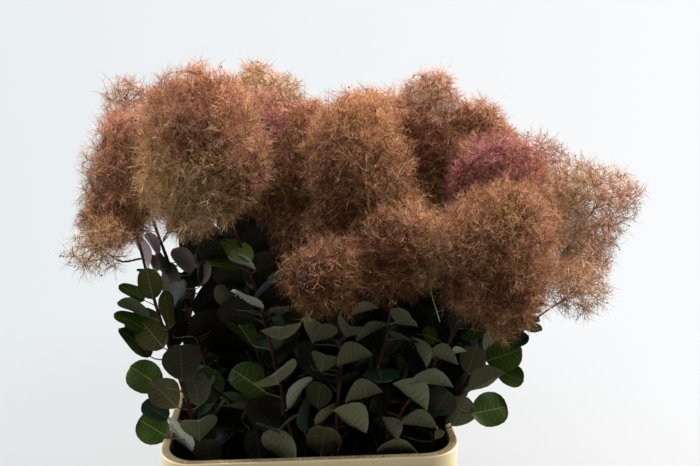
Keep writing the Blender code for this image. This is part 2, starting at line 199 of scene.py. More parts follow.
# Leaf tints: upper face, underside, midrib with the stalk. Green, bright, teal, olive and mauve are the
# leaves' own colours; the others are lit or shaded copies of them, as painted light and painted shade.
LEAF_TINTS = {
    "green": ((0.020, 0.036, 0.006), (0.155, 0.166, 0.104), (0.230, 0.245, 0.095)),
    "bright": ((0.027, 0.050, 0.005), (0.120, 0.140, 0.070), (0.170, 0.210, 0.060)),
    # Painted light: a brighter green for upper faces that lie in the plumes' shade
    "fresh": ((0.060, 0.094, 0.016), (0.120, 0.140, 0.070), (0.220, 0.260, 0.080)),
    "teal": ((0.013, 0.028, 0.015), (0.058, 0.082, 0.060), (0.100, 0.140, 0.090)),
    "olive": ((0.036, 0.040, 0.010), (0.100, 0.096, 0.050), (0.210, 0.190, 0.070)),
    "mauve": ((0.030, 0.031, 0.020), (0.290, 0.235, 0.240), (0.240, 0.190, 0.160)),
    # Painted light: the palest lit copy of the underside, near white where a leaf catches the light
    "pale": ((0.030, 0.050, 0.016), (0.480, 0.530, 0.440), (0.420, 0.460, 0.330)),
    # Painted light: lit copies of the green underside, the second one brighter still
    "lit": ((0.040, 0.056, 0.014), (0.225, 0.240, 0.155), (0.330, 0.345, 0.160)),
    "ash": ((0.040, 0.056, 0.014), (0.320, 0.335, 0.220), (0.400, 0.415, 0.220)),
    # Painted light with a painted reflection of the pale surround: a bluish lit underside
    "steel": ((0.020, 0.036, 0.020), (0.110, 0.160, 0.180), (0.160, 0.200, 0.190)),
    # Painted shade: shaded copies of the leaf, from dim to near black, for leaves in the foliage's shade
    "dim": ((0.014, 0.020, 0.006), (0.050, 0.052, 0.031), (0.110, 0.108, 0.050)),
    "dusk": ((0.014, 0.015, 0.006), (0.033, 0.027, 0.018), (0.060, 0.048, 0.028)),
    "dark": ((0.006, 0.009, 0.004), (0.016, 0.015, 0.011), (0.030, 0.027, 0.017)),
}
FINE_VEIN_SHARE = 0.5
# How dark the underside's side veins are painted as painted shade, as a share of the underside's tint
PAINTED_VEIN_SHADE_SHARE = 0.62
# The spiralling leaves draw their tints by these weights: mostly painted shade deep in the foliage, and
# more of it above their mass under the plumes
USUAL_TINTS = {"green": 0.10, "bright": 0.03, "teal": 0.15, "olive": 0.08, "dim": 0.22, "dark": 0.42}
HIGH_TINTS = {"green": 0.12, "dim": 0.30, "dark": 0.46, "mauve": 0.12}

# The photograph's size in pixels
PHOTO_WIDTH = 700
PHOTO_HEIGHT = 466
PHOTO_FOCUS = CAMERA_LENS / CAMERA_SENSOR * PHOTO_WIDTH

# Leaves that the viewer sees one by one, for each stem: the blade's middle in pixels, the way it
# points in degrees, its length and width as seen, the face that shows, its tint, and whether its
# foot lies well before (2), before (1) or behind (-1) the stem
# Their tints give many of these leaves painted shade or painted light, by how lit each one looks
LEAVES_IN_VIEW = {
    "left": (
        (132, 292, 146, 29, 16, "upper", "bright", -1),
        (150, 283, 100, 32, 25, "upper", "olive", 1),
        (129, 320, 150, 32, 18, "upper", "bright", -1),
        (134, 308, 150, 34, 9, "under", "green", -1),
        (136, 341, 133, 42, 22, "upper", "green", -1),
        (152, 334, 130, 36, 33, "upper", "olive", 1),
        (167, 309, 95, 38, 15, "upper", "olive", 1),
        (177, 300, 85, 44, 13, "upper", "dark", -1),
        (145, 376, 146, 38, 35, "upper", "bright", -1),
        (164, 394, 135, 37, 31, "folded", "olive", 1),
        (181, 361, 95, 37, 42, "under", "dim", 1),
        (196, 388, 100, 35, 25, "under", "dim", 1),
        (155, 411, 150, 30, 18, "upper", "teal", -1),
        (153, 428, 149, 35, 33, "upper", "bright", -1),
        (180, 434, 124, 42, 13, "under", "pale", 1),
        (199, 428, 92, 26, 38, "folded", "lit", 1),
        (209, 452, 105, 26, 28, "under", "dim", 1),
        (142, 271, 160, 11, 5, "upper", "dark", -1),
    ),
    "back_left": (
        (143, 251, 107, 34, 8, "under", "mauve", 1),
        (153, 243, 115, 24, 8, "under", "mauve", 1),
        (154, 264, 95, 20, 8, "under", "mauve", 1),
        (183, 260, 123, 30, 16, "under", "mauve", 1),
        (199, 270, 95, 31, 15, "folded", "mauve", 1),
        (206, 254, 60, 22, 18, "upper", "dark", 1),
        (171, 284, 100, 48, 22, "under", "dusk", 1),
        (180, 316, 70, 40, 26, "under", "dark", 1),
        (211, 296, 60, 40, 24, "under", "dark", 1),
        (214, 270, 75, 40, 22, "under", "dark", -1),
        (207, 322, 30, 38, 26, "under", "dusk", 1),
        (222, 318, 50, 36, 24, "under", "dark", -1),
        (160, 262, 110, 26, 12, "under", "dark", -1),
        (186, 243, 100, 30, 16, "under", "dusk", -1),
        (196, 340, 120, 34, 28, "under", "dark", -1),
        (226, 333, 10, 38, 26, "under", "dark", -1),
        (218, 304, 25, 38, 22, "under", "dark", -1),
        (184, 290, 100, 38, 14, "under", "dusk", -1),
        (193, 246, 60, 36, 22, "under", "dark", -1),
        (178, 334, 60, 30, 18, "under", "dark", -1),
        (229, 346, 5, 42, 24, "under", "dark", -1),
        (194, 279, 10, 30, 18, "under", "dark", -1),
        (202, 300, 78, 34, 15, "under", "dark", -1),
        (236, 362, -5, 36, 20, "under", "dark", -1),
    ),
    "back_pale": (
        (236, 222, 172, 40, 26, "under", "dark", -1),
        (250, 208, 150, 34, 22, "under", "dark", -1),
        (247, 236, 160, 34, 22, "under", "dusk", 1),
        (263, 224, 100, 38, 22, "under", "dark", -1),
        (268, 246, 80, 38, 26, "under", "dark", -1),
    ),
    "centre_left": (
        (302, 322, 0, 36, 26, "under", "dark", -1),
        (284, 288, 10, 36, 28, "under", "dark", -1),
        (308, 306, 15, 34, 24, "under", "dark", -1),
        (280, 249, 30, 34, 26, "under", "dark", -1),
        (296, 300, 20, 34, 24, "under", "dark", -1),
    ),
    "front_left": (
        (205, 238, 165, 40, 24, "under", "dark", -1),
        (217, 252, 175, 36, 20, "under", "dark", -1),
        (237, 314, 165, 40, 26, "under", "dark", -1),
        (231, 277, 160, 36, 22, "under", "dark", -1),
        (251, 244, 40, 34, 26, "under", "dark", -1),
        (259, 268, 50, 38, 26, "under", "dusk", -1),
        (229, 240, 110, 34, 24, "under", "dark", -1),
        (262, 300, 30, 36, 26, "under", "dark", -1),
        (229, 246, 140, 20, 14, "upper", "fresh", 1),
        (239, 252, 148, 31, 18, "upper", "fresh", 1),
        (242, 262, 150, 31, 7, "under", "pale", 1),
        (222, 263, 165, 33, 16, "upper", "fresh", 1),
        (224, 296, 125, 26, 20, "under", "dim", -1),
        (237, 288, 140, 28, 15, "upper", "teal", -1),
        (247, 299, 150, 37, 8, "under", "pale", 1),
        (269, 285, 45, 42, 8, "under", "steel", 1),
        (240, 327, 125, 42, 18, "upper", "green", -1),
        (279, 331, 92, 15, 44, "under", "ash", 1),
        (279, 310, 92, 9, 22, "under", "lit", -1),
        (249, 380, 143, 42, 30, "upper", "green", -1),
        (275, 376, 112, 17, 48, "under", "ash", 1),
        (298, 392, 60, 39, 8, "under", "pale", 1),
        (263, 414, 125, 40, 32, "under", "dark", -1),
        (278, 427, 95, 11, 45, "folded", "teal", 1),
        (279, 446, 136, 42, 22, "under", "lit", 2),
        (257, 443, 100, 30, 26, "under", "dark", -1),
    ),
    "front_centre": (
        (322, 350, 175, 34, 24, "under", "dark", -1),
        (318, 331, 64, 26, 37, "folded", "green", 1),
        (349, 331, 70, 14, 30, "folded", "green", 1),
        (371, 331, 38, 36, 9, "folded", "green", 1),
        (364, 310, 25, 29, 11, "folded", "lit", 1),
        (324, 361, 75, 22, 27, "folded", "green", 1),
        (354, 357, 25, 37, 19, "folded", "green", 1),
        (308, 353, 100, 26, 19, "under", "dark", -1),
        (306, 413, 85, 37, 16, "under", "teal", 1),
        (319, 395, 80, 24, 27, "under", "dim", 1),
        (327, 414, 50, 33, 13, "under", "lit", 1),
        (351, 421, -32, 40, 20, "folded", "lit", 1),
        (364, 397, 22, 40, 13, "folded", "green", 1),
        (323, 441, 82, 30, 37, "under", "olive", -1),
    ),
    "centre_right": ((400, 369, 95, 32, 8, "under", "olive", 1),),
    "front_right": (
        (390, 429, -55, 27, 13, "folded", "green", 1),
        (397, 449, 8, 40, 11, "folded", "lit", 1),
        (384, 397, 95, 24, 9, "under", "dark", -1),
        (430, 335, 110, 19, 15, "upper", "olive", 1),
        (421, 352, -55, 32, 16, "folded", "green", 1),
        (443, 357, -8, 32, 15, "folded", "green", 1),
        (458, 352, 22, 17, 5, "folded", "pale", 1),
        (432, 382, 3, 42, 18, "folded", "lit", 1),
        (411, 396, -35, 42, 18, "folded", "lit", 1),
        (442, 402, 60, 27, 30, "under", "dim", -1),
        (419, 425, -4, 38, 8, "folded", "green", 1),
        (440, 435, 40, 12, 8, "folded", "olive", 1),
    ),
    "right": (
        (472, 359, 70, 28, 28, "under", "olive", 1),
        (512, 331, 35, 34, 20, "under", "dark", -1),
        (465, 384, 75, 30, 17, "under", "dark", -1),
        (486, 380, 34, 40, 24, "folded", "green", 1),
        (511, 376, -20, 27, 21, "upper", "bright", -1),
        (490, 410, 12, 37, 36, "upper", "bright", 1),
        (461, 411, 60, 34, 30, "folded", "green", 1),
        (505, 355, 18, 38, 33, "upper", "bright", 1),
        (477, 343, 80, 14, 6, "folded", "steel", 1),
        (496, 339, 47, 34, 9, "folded", "lit", 1),
        (517, 341, 30, 26, 15, "upper", "teal", -1),
        (532, 302, 5, 24, 10, "upper", "dark", -1),
        (529, 311, -5, 24, 10, "upper", "teal", -1),
        (527, 319, -5, 26, 11, "upper", "dark", -1),
        (529, 327, -8, 27, 9, "under", "olive", -1),
    ),
}

# How a leaf in view finds its depth: the depths tried, the sizes allowed, the length of its stalk, how
# far the stalk rises, how far well before the stem is, and the weight of the wrong side of the stem
VIEW_DEPTHS = (0.75, 1.40, 261)
SEEN_SIZES = (0.25, 1.4)
SEEN_STALK = 0.015
SEEN_RISE = 0.009
WELL_BEFORE = 0.012
WRONG_SIDE = 0.6
# How far around a leaf in view the others keep clear of it, as a share of its length and width as seen,
# unless they lie at least this much deeper than it
SEEN_REACH = 0.22
SEEN_CLEARANCE = 0.012

# Where the foliage ends on the left and right of the picture: the row, then the columns
FOLIAGE_EDGES = (
    (240, 128, 560), (260, 134, 560), (280, 130, 550), (290, 119, 546), (305, 118, 544),
    (325, 118, 540), (345, 122, 524), (365, 127, 523), (385, 127, 511), (400, 139, 509),
    (415, 141, 507), (430, 139, 480), (445, 150, 458),
)
# A stray shoot that hangs out of the low centre plume: column, row and depth
STRAY_SHOOT = ((428, 276, 0.905), (431, 292, 0.900), (435, 306, 0.895), (440, 322, 0.890))
# Places that the spiralling leaves leave open: column, row and reach
FOLIAGE_GAPS = (
    (148, 252, 6), (166, 256, 8), (192, 284, 6), (191, 303, 4), (158, 358, 6), (167, 375, 3),
    (470, 401, 6), (128, 300, 3), (504, 390, 6),
)

# Plumes: twigs of three orders, then fine hairs outside and coarse ones inside
MAIN_TWIGS = 16
SIDE_TWIGS_PER_LITRE = 75
LAST_TWIGS_PER_LITRE = 720
FEWEST_SIDE_TWIGS = 30
FEWEST_LAST_TWIGS = 150
# How far out each order of twigs ends at most, as a share of the plume's reach, and how much it bows
TWIG_ENDS = (0.68, 0.88, 0.93)
TWIG_BOWS = (0.12, 0.16, 0.2)
SPINE_BOW = 0.05
# Half the thickness of the main stalk and of each order of twigs, at the foot and at the end
TWIG_RADII = ((0.0013, 0.0008), (0.0008, 0.0005), (0.0005, 0.0003), (0.00033, 0.00022))
# Where twigs fork off the order before them, as shares of its twigs' length
SIDE_FORKS = (0.2, 0.35, 0.5, 0.65, 0.8, 1.0)
LAST_FORKS = (0.25, 0.5, 0.75, 1.0)
FINE_HAIRS_PER_LITRE = 8900
COARSE_HAIRS_PER_LITRE = 3900
HAIR_LENGTH = 0.0230
FINE_HAIR_WIDTH = 0.00046
COARSE_HAIR_WIDTH = 0.0012
HAIR_SHAPES = 6
# Their lengths as shares of the usual one, and where on a last twig they grow, as shares of it
HAIR_LENGTHS = (0.55, 1.25)
HAIR_PLACES = (0.15, 1.0)
# How far out last twigs end that bear no hairs and that bear the most, as shares of the plume's reach:
# fine hairs grow on the outer twigs and coarse ones on the inner twigs
FINE_HAIR_ZONE = (0.35, 0.65)
COARSE_HAIR_ZONE = (0.85, 0.65)
# Hairs end this far within a plume's outline, and fine ones stray beyond that, on average and at most
EDGE_INSET = 0.013
STRAY_REACH = 0.013
FURTHEST_STRAY = 0.032
# How much further a plume's hairs reach where it passes behind another plume, as a share
PARTING_REACH = 0.40
# How much further forward a plume stands that parts another
PARTING_STEP = 0.015
# The waves that make a plume's outline uneven: how many, and the least and most of their number a turn
OUTLINE_WAVES = 6
WAVE_NUMBERS = (2.0, 5.0)
# Points by which a plume's litres are measured
LITRE_TRIALS = 3000
# Patches of one tint that cross a plume, and how many of its twigs follow them
PATCHES = 7
PATCH_SHARE = 0.3
# How many hairs take the tint of their twig
SPRAY_SHARE = 0.6
# Leaves stop this far below a plume's neck, or this far above their mass
BARE_NECK = 0.022
LEAFY_RISE = 0.170

# Seeds: their shapes, their widths, and where they sit, as shares of a plume's reach
SEED_SHAPES = 4
SEED_WIDTHS = (0.0017, 0.0031)
SEED_PLACES = (0.84, 0.97)
# Seeds on the tips of hairs, for each plume
SEEDS = {
    "usual": 14,
    "right": 85,
    "back_pale": 34,
    "front_left": 30,
    "front_centre": 36,
    "far_right": 20,
}

STEM_NAMES = sorted(name[5:] for name in NODES if name.startswith("stem_"))
BOUGH_NAMES = sorted(name[6:] for name in NODES if name.startswith("bough_"))
PLUME_NAMES = sorted(name[6:] for name in NODES if name.startswith("plume_"))

# How full each plume is of hairs, where it isn't 1
FULLNESS = {
    "right": 0.5,
    "right_low": 0.5,
    "left_low": 0.5,
    "back_left": 0.6,
    "back_pale": 0.65,
    "far_right": 0.5,
    "centre_low": 1.25,
    "rear_left": 0.65,
    "rear_centre_left": 0.65,
    "rear_centre": 0.65,
    "rear_right": 0.65,
    "rear_far_right": 0.65,
}

# How much each plume's outline swells and shrinks, where it isn't the usual
UNEVEN = {
    "usual": 0.16,
    "right": 0.42,
    "right_low": 0.36,
    "left_low": 0.30,
    "centre_low": 0.30,
    "left": 0.24,
}

# Where plumes bulge beyond their solids: the way and the growth
SWELLS = {
    "front_right": (((0.42, 0.0, -0.9), 0.17), ((-0.65, 0.0, -0.76), 0.26)),
    "right": (((-0.25, 0.0, -0.97), 0.35),),
    "front_left": (((0.1, 0.0, 1.0), 0.10), ((0.5, 0.0, -0.8), 0.08)),
    "centre_low": (((0.3, 0.0, -0.9), 0.14),),
    "front_centre": (((0.3, 0.0, 1.0), 0.05),),
    "left_low": (((-0.9, 0.0, -0.3), 0.16),),
}

# Hair tints: root, then tip. The near-black tint is painted shade, for hairs in the crown's shadow.
HAIR_TINTS = {
    "rose": ((0.43, 0.185, 0.095), (0.71, 0.38, 0.25)),
    "tan": ((0.42, 0.200, 0.080), (0.70, 0.40, 0.19)),
    "magenta": ((0.27, 0.070, 0.085), (0.55, 0.21, 0.24)),
    "olive": ((0.26, 0.190, 0.045), (0.50, 0.38, 0.13)),
    "straw": ((0.54, 0.35, 0.150), (0.84, 0.62, 0.33)),
    "dark": ((0.08, 0.026, 0.012), (0.19, 0.068, 0.032)),
    "blush": ((0.50, 0.25, 0.165), (0.82, 0.53, 0.42)),
}
# How much likelier each tint is at a plume's top than in its middle: the near-black tint grows much
# likelier low down, as painted shade under each plume
TINT_RISE = (0.5, -0.1, 0.4, -0.5, -0.1, -1.5, 0.6)
# The weights by which each plume draws from the tints: large near-black shares are painted shade on plumes
# that lie in shadow
PLUME_TINTS = {
    "usual": (0.44, 0.20, 0.03, 0.09, 0.04, 0.12, 0.08),
    "pink": (0.16, 0.04, 0.62, 0.02, 0.00, 0.10, 0.06),
    "centre_left": (0.34, 0.14, 0.14, 0.08, 0.02, 0.22, 0.06),
    "front_centre": (0.34, 0.24, 0.03, 0.11, 0.04, 0.20, 0.04),
    "centre_right": (0.22, 0.10, 0.02, 0.08, 0.02, 0.54, 0.02),
    "low_centre": (0.30, 0.16, 0.02, 0.14, 0.02, 0.34, 0.02),
    "centre_low": (0.18, 0.34, 0.00, 0.10, 0.04, 0.34, 0.00),
    "back_pale": (0.12, 0.32, 0.00, 0.14, 0.30, 0.04, 0.08),
    "right": (0.24, 0.12, 0.02, 0.22, 0.12, 0.04, 0.24),
    "right_low": (0.22, 0.14, 0.02, 0.18, 0.14, 0.02, 0.28),
    "left_low": (0.20, 0.34, 0.00, 0.12, 0.24, 0.02, 0.08),
}
# Patches of one tint in view: column, row and reach in pixels, the tint and its share there. The near-black
# patches are painted shade where the crown lies in shadow.
PATCHES_IN_VIEW = {
    "front_left": (
        # The straw patches are the hairs' own paler tint, and partly painted light from the front left
        (158, 185, 32, "straw", 0.8),
        (188, 200, 40, "straw", 0.7),
        (238, 185, 30, "dark", 0.45),
        (205, 150, 30, "dark", 0.25),
    ),
    "centre_left": ((266, 125, 20, "magenta", 0.5), (290, 205, 40, "dark", 0.6)),
    "front_centre": ((375, 120, 26, "tan", 0.4), (340, 215, 42, "dark", 0.65)),
    "front_right": (
        (508, 212, 16, "olive", 0.4),
        (500, 205, 36, "dark", 0.4),
        (485, 275, 44, "dark", 0.5),
    ),
    "back_centre": ((430, 145, 34, "dark", 0.9), (432, 92, 24, "blush", 0.5)),
    "centre_right": ((425, 165, 40, "dark", 0.7), (430, 138, 26, "dark", 0.8)),
    "back_right": ((462, 128, 20, "dark", 0.5),),
    "centre_low": ((315, 265, 40, "dark", 0.55),),
    "low_centre": ((395, 265, 40, "dark", 0.5),),
    "right": ((568, 190, 20, "olive", 0.4), (628, 195, 26, "blush", 0.5)),
    "left": ((118, 190, 24, "rose", 0.5),),
}


# Meshes and objects


def new_object(name, mesh):
    obj = bpy.data.objects.new(name, mesh)
    bpy.context.scene.collection.objects.link(obj)
    return obj


def mesh_from(name, verts, faces):
    mesh = bpy.data.meshes.new(name)
    mesh.from_pydata([tuple(v) for v in verts], [], faces)
    return mesh


def ring_faces(start, stop, sides):
    """Faces that join each ring of corners to the next, for rings whose corners run from start to stop."""
    for ring in range(start, stop - sides, sides):
        for corner in range(sides):
            a, b = ring + corner, ring + (corner + 1) % sides
            yield a, b, b + sides, a + sides


def store(mesh, name, kind, values, domain="POINT"):
    """Writes one attribute of a mesh. kind is INT, FLOAT or FLOAT_VECTOR."""
    layer = mesh.attributes.new(name, kind, domain)
    key = "vector" if kind == "FLOAT_VECTOR" else "value"
    layer.data.foreach_set(key, np.asarray(values).ravel())


# Small sums, and paths along the limbs


def ease(value, start, end):
    """How far a value is on its way from start to end, kept within 0 and 1."""
    return np.clip((value - start) / (end - start), 0, 1)


def unit(vectors):
    return vectors / (np.linalg.norm(vectors, axis=-1, keepdims=True) + 1e-9)


def lengths_along(line):
    """How far along a line each of its points lies."""
    return np.concatenate([[0], np.cumsum(np.linalg.norm(np.diff(line, axis=0), axis=1))])


def between(line, marks, where):
    """Points of a line at places between the marks of its own points."""
    return np.stack([np.interp(where, marks, line[:, k]) for k in range(3)], axis=-1)


def centreline(node, axis, steps):
    """Centres and radii of a limb's solid, cut by planes across the axis from end to end."""
    mesh = NODES[node].data
    points = np.array([v.co for v in mesh.vertices])
    heights = points @ axis
    edges = np.array([e.vertices for e in mesh.edges])
    starts, ends = heights[edges[:, 0]], heights[edges[:, 1]]
    skin = 1e-5
    low, high = heights.min() + skin, heights.max() - skin
    places, radii = [], []
    for level in np.linspace(heights.min(), heights.max(), steps + 1):
        level = min(max(level, low), high)
        cut = (starts - level) * (ends - level) < 0
        share = ((level - starts[cut]) / (ends[cut] - starts[cut]))[:, None]
        ring = points[edges[cut, 0]] * (1 - share) + points[edges[cut, 1]] * share
        centre = (ring.max(0) + ring.min(0)) / 2
        places.append(centre)
        radii.append(np.median(np.linalg.norm(ring - centre, axis=1)))
    return np.array(places), np.array(radii)


def tangents_of(path):
    """The unit tangents of a path of points."""
    tangents = np.gradient(path, axis=0)
    return tangents / np.linalg.norm(tangents, axis=1)[:, None]


def at_height(path, height):
    """Point and unit tangent of a rising path at a height."""
    point = between(path, path[:, 2], height)
    tangent = between(tangents_of(path), path[:, 2], height)
    return point, tangent / np.linalg.norm(tangent)


# Node trees


def set_inputs(tree, node, inputs):
    """Gives inputs of a node their values, or links them to the sockets they come from."""
    for key, value in inputs.items():
        if isinstance(value, bpy.types.NodeSocket):
            tree.links.new(value, node.inputs[key])
        else:
            node.inputs[key].default_value = value


def add_node(tree, kind, inputs=None, **settings):
    """A new node of a node tree, with its settings and inputs."""
    node = tree.nodes.new(kind)
    for key, value in settings.items():
        setattr(node, key, value)
    set_inputs(tree, node, inputs or {})
    return node


class Tree:
    """A Geometry Nodes tree under construction, with short calls to add and join nodes."""

    def __init__(self, name):
        self.group = bpy.data.node_groups.new(name, "GeometryNodeTree")
        self.group.interface.new_socket("Geometry", in_out="INPUT", socket_type="NodeSocketGeometry")
        self.group.interface.new_socket("Geometry", in_out="OUTPUT", socket_type="NodeSocketGeometry")
        self.inlet = self.add("NodeGroupInput")
        self.outlet = self.add("NodeGroupOutput")

    def add(self, kind, inputs=None, **settings):
        return add_node(self.group, kind, inputs, **settings)

    def collection_input(self, name):
        self.group.interface.new_socket(name, in_out="INPUT", socket_type="NodeSocketCollection")
        return self.inlet.outputs[name]

    def named(self, name, kind):
        node = self.add("GeometryNodeInputNamedAttribute", {"Name": name}, data_type=kind)
        return node.outputs["Attribute"]

    def is_number(self, name, number):
        """A test of whether an attribute is a number."""
        sides = {"A": self.named(name, "INT"), "B": number}
        return self.add("FunctionNodeCompare", sides, data_type="INT", operation="EQUAL").outputs[0]

    def paint(self, geometry, materials, parts=1):
        """Gives each face the material of its tint, and of its part where a tint has several."""
        for index, material in enumerate(materials):
            tint, part = divmod(index, parts)
            chosen = self.is_number("tint", tint)
            if parts > 1:
                tests = {0: chosen, 1: self.is_number("part", part)}
                chosen = self.add("FunctionNodeBooleanMath", tests, operation="AND").outputs[0]
            job = {"Geometry": geometry, "Selection": chosen, "Material": material}
            geometry = self.add("GeometryNodeSetMaterial", job).outputs[0]
        return geometry

    def finish(self, geometry):
        self.group.links.new(geometry, self.outlet.inputs["Geometry"])
        return self.group


def apply_tree(obj, group, values=None):
    """Replaces an object's mesh by what the tree makes of it."""
    modifier = obj.modifiers.new("nodes", "NODES")
    modifier.node_group = group
    keys = {s.name: s.identifier for s in group.interface.items_tree if s.in_out == "INPUT"}
    for name, value in (values or {}).items():
        modifier[keys[name]] = value
    evaluated = obj.evaluated_get(bpy.context.evaluated_depsgraph_get())
    mesh = bpy.data.meshes.new_from_object(evaluated)
    obj.modifiers.remove(modifier)
    old = obj.data
    obj.data = mesh
    bpy.data.meshes.remove(old)
    return obj


def scatter_tree(name, materials, parts=1):
    """Shapes on points, turned, sized and tinted as the points' attributes say."""
    tree = Tree(name)
    picked = {
        "Collection": tree.collection_input("Shapes"),
        "Separate Children": True,
        "Reset Children": True,
    }
    info = tree.add("GeometryNodeCollectionInfo", picked)
    turn = tree.add("FunctionNodeEulerToRotation", {"Euler": tree.named("turn", "FLOAT_VECTOR")})
    placed = tree.add(
        "GeometryNodeInstanceOnPoints",
        {
            "Points": tree.inlet.outputs["Geometry"],
            "Instance": info.outputs[0],
            "Pick Instance": True,
            "Instance Index": tree.named("shape", "INT"),
            "Rotation": turn.outputs[0],
            "Scale": tree.named("size", "FLOAT_VECTOR"),
        },
    )
    real = tree.add("GeometryNodeRealizeInstances", {"Geometry": placed.outputs[0]})
    return tree.finish(tree.paint(real.outputs[0], materials, parts))


def twig_tree(name, materials, sides):
    """Tubes along loose edges, as thick as the thick attribute says."""
    tree = Tree(name)
    curves = tree.add("GeometryNodeMeshToCurve", {"Mesh": tree.inlet.outputs["Geometry"]})
    ring = tree.add("GeometryNodeCurvePrimitiveCircle", {"Resolution": sides, "Radius": 1.0})
    tube = tree.add(
        "GeometryNodeCurveToMesh",
        {
            "Curve": curves.outputs[0],
            "Profile Curve": ring.outputs[0],
            "Scale": tree.named("thick", "FLOAT"),
            "Fill Caps": True,
        },
    )
    real = tree.add("GeometryNodeRealizeInstances", {"Geometry": tube.outputs[0]})
    return tree.finish(tree.paint(real.outputs[0], materials))


def as_shapes(name, meshes):
    """A collection of one object per mesh, for a scatter tree to pick from."""
    collection = bpy.data.collections.new(name)
    for index, mesh in enumerate(meshes):
        collection.objects.link(bpy.data.objects.new(f"{name}_{index:02d}", mesh))
    return collection


def drop_shapes(collection):
    for obj in list(collection.objects):
        bpy.data.objects.remove(obj)
    bpy.data.collections.remove(collection)


def empty_columns():
    """What scatter takes, still without points."""
    return {key: [] for key in ("place", "turn", "size", "shape", "tint")}


def scatter(name, points, shapes, tree):
    """A piece of shapes scattered on points. points holds place, turn, size, shape and tint."""
    mesh = bpy.data.meshes.new(name)
    mesh.vertices.add(len(points["place"]))
    mesh.vertices.foreach_set("co", np.asarray(points["place"], np.float32).ravel())
    sizes = np.repeat(np.asarray(points["size"], np.float32)[:, None], 3, axis=1)
    store(mesh, "turn", "FLOAT_VECTOR", np.asarray(points["turn"], np.float32))
    store(mesh, "size", "FLOAT_VECTOR", sizes)
    store(mesh, "shape", "INT", np.asarray(points["shape"], np.int32))
    store(mesh, "tint", "INT", np.asarray(points["tint"], np.int32))
    return apply_tree(new_object(name, mesh), tree, {"Shapes": shapes})


def turn_of(axis, normal):
    """Euler turns that lay local X along the axis and local Z along the normal."""
    side = np.cross(normal, axis)
    turn = Matrix([axis, side, normal]).transposed()
    return tuple(turn.to_euler())


def turns_to(directions, spin):
    """Euler turns that lay local X along each direction, spun about it."""
    x, y, z = (directions / np.linalg.norm(directions, axis=1)[:, None]).T
    return np.stack([spin, -np.arcsin(np.clip(z, -1, 1)), np.arctan2(y, x)], axis=1)


# Materials


def feed(material, inputs):
    """Sets or links inputs of a material's shader."""
    tree = material.node_tree
    set_inputs(tree, tree.nodes["Principled BSDF"], inputs)


def plain(name, colour, roughness, specular=0.5):
    material = bpy.data.materials.new(name)
    material.use_nodes = True
    feed(material, {"Base Color": (*colour, 1), "Roughness": roughness, "Specular IOR Level": specular})
    return material


def object_place(tree):
    return add_node(tree, "ShaderNodeTexCoord").outputs["Object"]


def cloud(tree, place, scale, detail):
    """Soft noise."""
    inputs = {"Vector": place, "Scale": scale, "Detail": detail}
    return add_node(tree, "ShaderNodeTexNoise", inputs).outputs["Fac"]


def dots(tree, place, scale, edge, middle, most=1.0):
    """Scattered dots: 0 from a distance of edge on, and most within a distance of middle."""
    cells = add_node(tree, "ShaderNodeTexVoronoi", {"Vector": place, "Scale": scale})
    return spread(tree, cells.outputs["Distance"], (edge, middle), (0.0, most))


def spread(tree, value, ends, new_ends=(0.0, 1.0), **settings):
    """A value moved from one span to another and kept within it."""
    inputs = dict(zip(("From Min", "From Max", "To Min", "To Max"), (*ends, *new_ends)))
    return add_node(tree, "ShaderNodeMapRange", {"Value": value, **inputs}, **settings).outputs["Result"]


def ramp(tree, factor, *stops):
    """A colour ramp between two stops, each a place and a colour."""
    node = add_node(tree, "ShaderNodeValToRGB", {"Fac": factor})
    for element, (place, colour) in zip(node.color_ramp.elements, stops):
        element.position = place
        element.color = (*colour, 1)
    return node.outputs["Color"]


def blend(tree, factor, first, second):
    """A mix of two colours."""
    inputs = {"Factor": factor, "A": first, "B": second}
    return add_node(tree, "ShaderNodeMix", inputs, data_type="RGBA").outputs["Result"]


def bumps(tree, height, strength, distance):
    inputs = {"Height": height, "Strength": strength, "Distance": distance}
    return add_node(tree, "ShaderNodeBump", inputs).outputs["Normal"]


def bark_material():
    """Smooth red-brown bark, paler in patches, with fine pale corky dots."""
    material = plain("bark", (0.06, 0.020, 0.014), 0.6, 0.12)
    tree = material.node_tree
    place = object_place(tree)
    patches = cloud(tree, place, scale=90, detail=6)
    tones = ramp(tree, patches, (0.34, (0.020, 0.007, 0.006)), (0.72, (0.080, 0.025, 0.018)))
    cork = dots(tree, place, scale=420, edge=0.16, middle=0.08)
    colour = blend(tree, cork, tones, (0.20, 0.11, 0.07, 1))
    normal = bumps(tree, patches, strength=0.4, distance=0.0004)
    feed(material, {"Base Color": colour, "Normal": normal})
    return material


def plastic_material(name, dull, clean, dirty, gloss):
    """Moulded plastic, slightly mottled, speckled with dirt and scuffed in fine streaks."""
    material = plain(name, clean, 0.42)
    tree = material.node_tree
    place = object_place(tree)
    tones = ramp(tree, cloud(tree, place, scale=14, detail=8), (0.3, dull), (0.7, clean))
    edge, most = 0.13 + 0.10 * dirty, 0.45 + 0.45 * dirty
    specks = dots(tree, place, scale=230, edge=edge, middle=0.06, most=most)
    stretch = add_node(tree, "ShaderNodeMapping", {"Vector": place, "Scale": (1.0, 1.0, 0.12)})
    streaks = cloud(tree, stretch.outputs["Vector"], scale=160, detail=3)
    feed(
        material,
        {
            "Base Color": blend(tree, specks, tones, (0.22, 0.14, 0.075, 1)),
            "Roughness": spread(tree, streaks, (0.35, 0.75), (0.30, 0.55)),
            "Normal": bumps(tree, streaks, strength=0.15 + 0.35 * dirty, distance=0.0003),
            "Coat Weight": gloss,
            "Coat Roughness": 0.32,
        },
    )
    return material


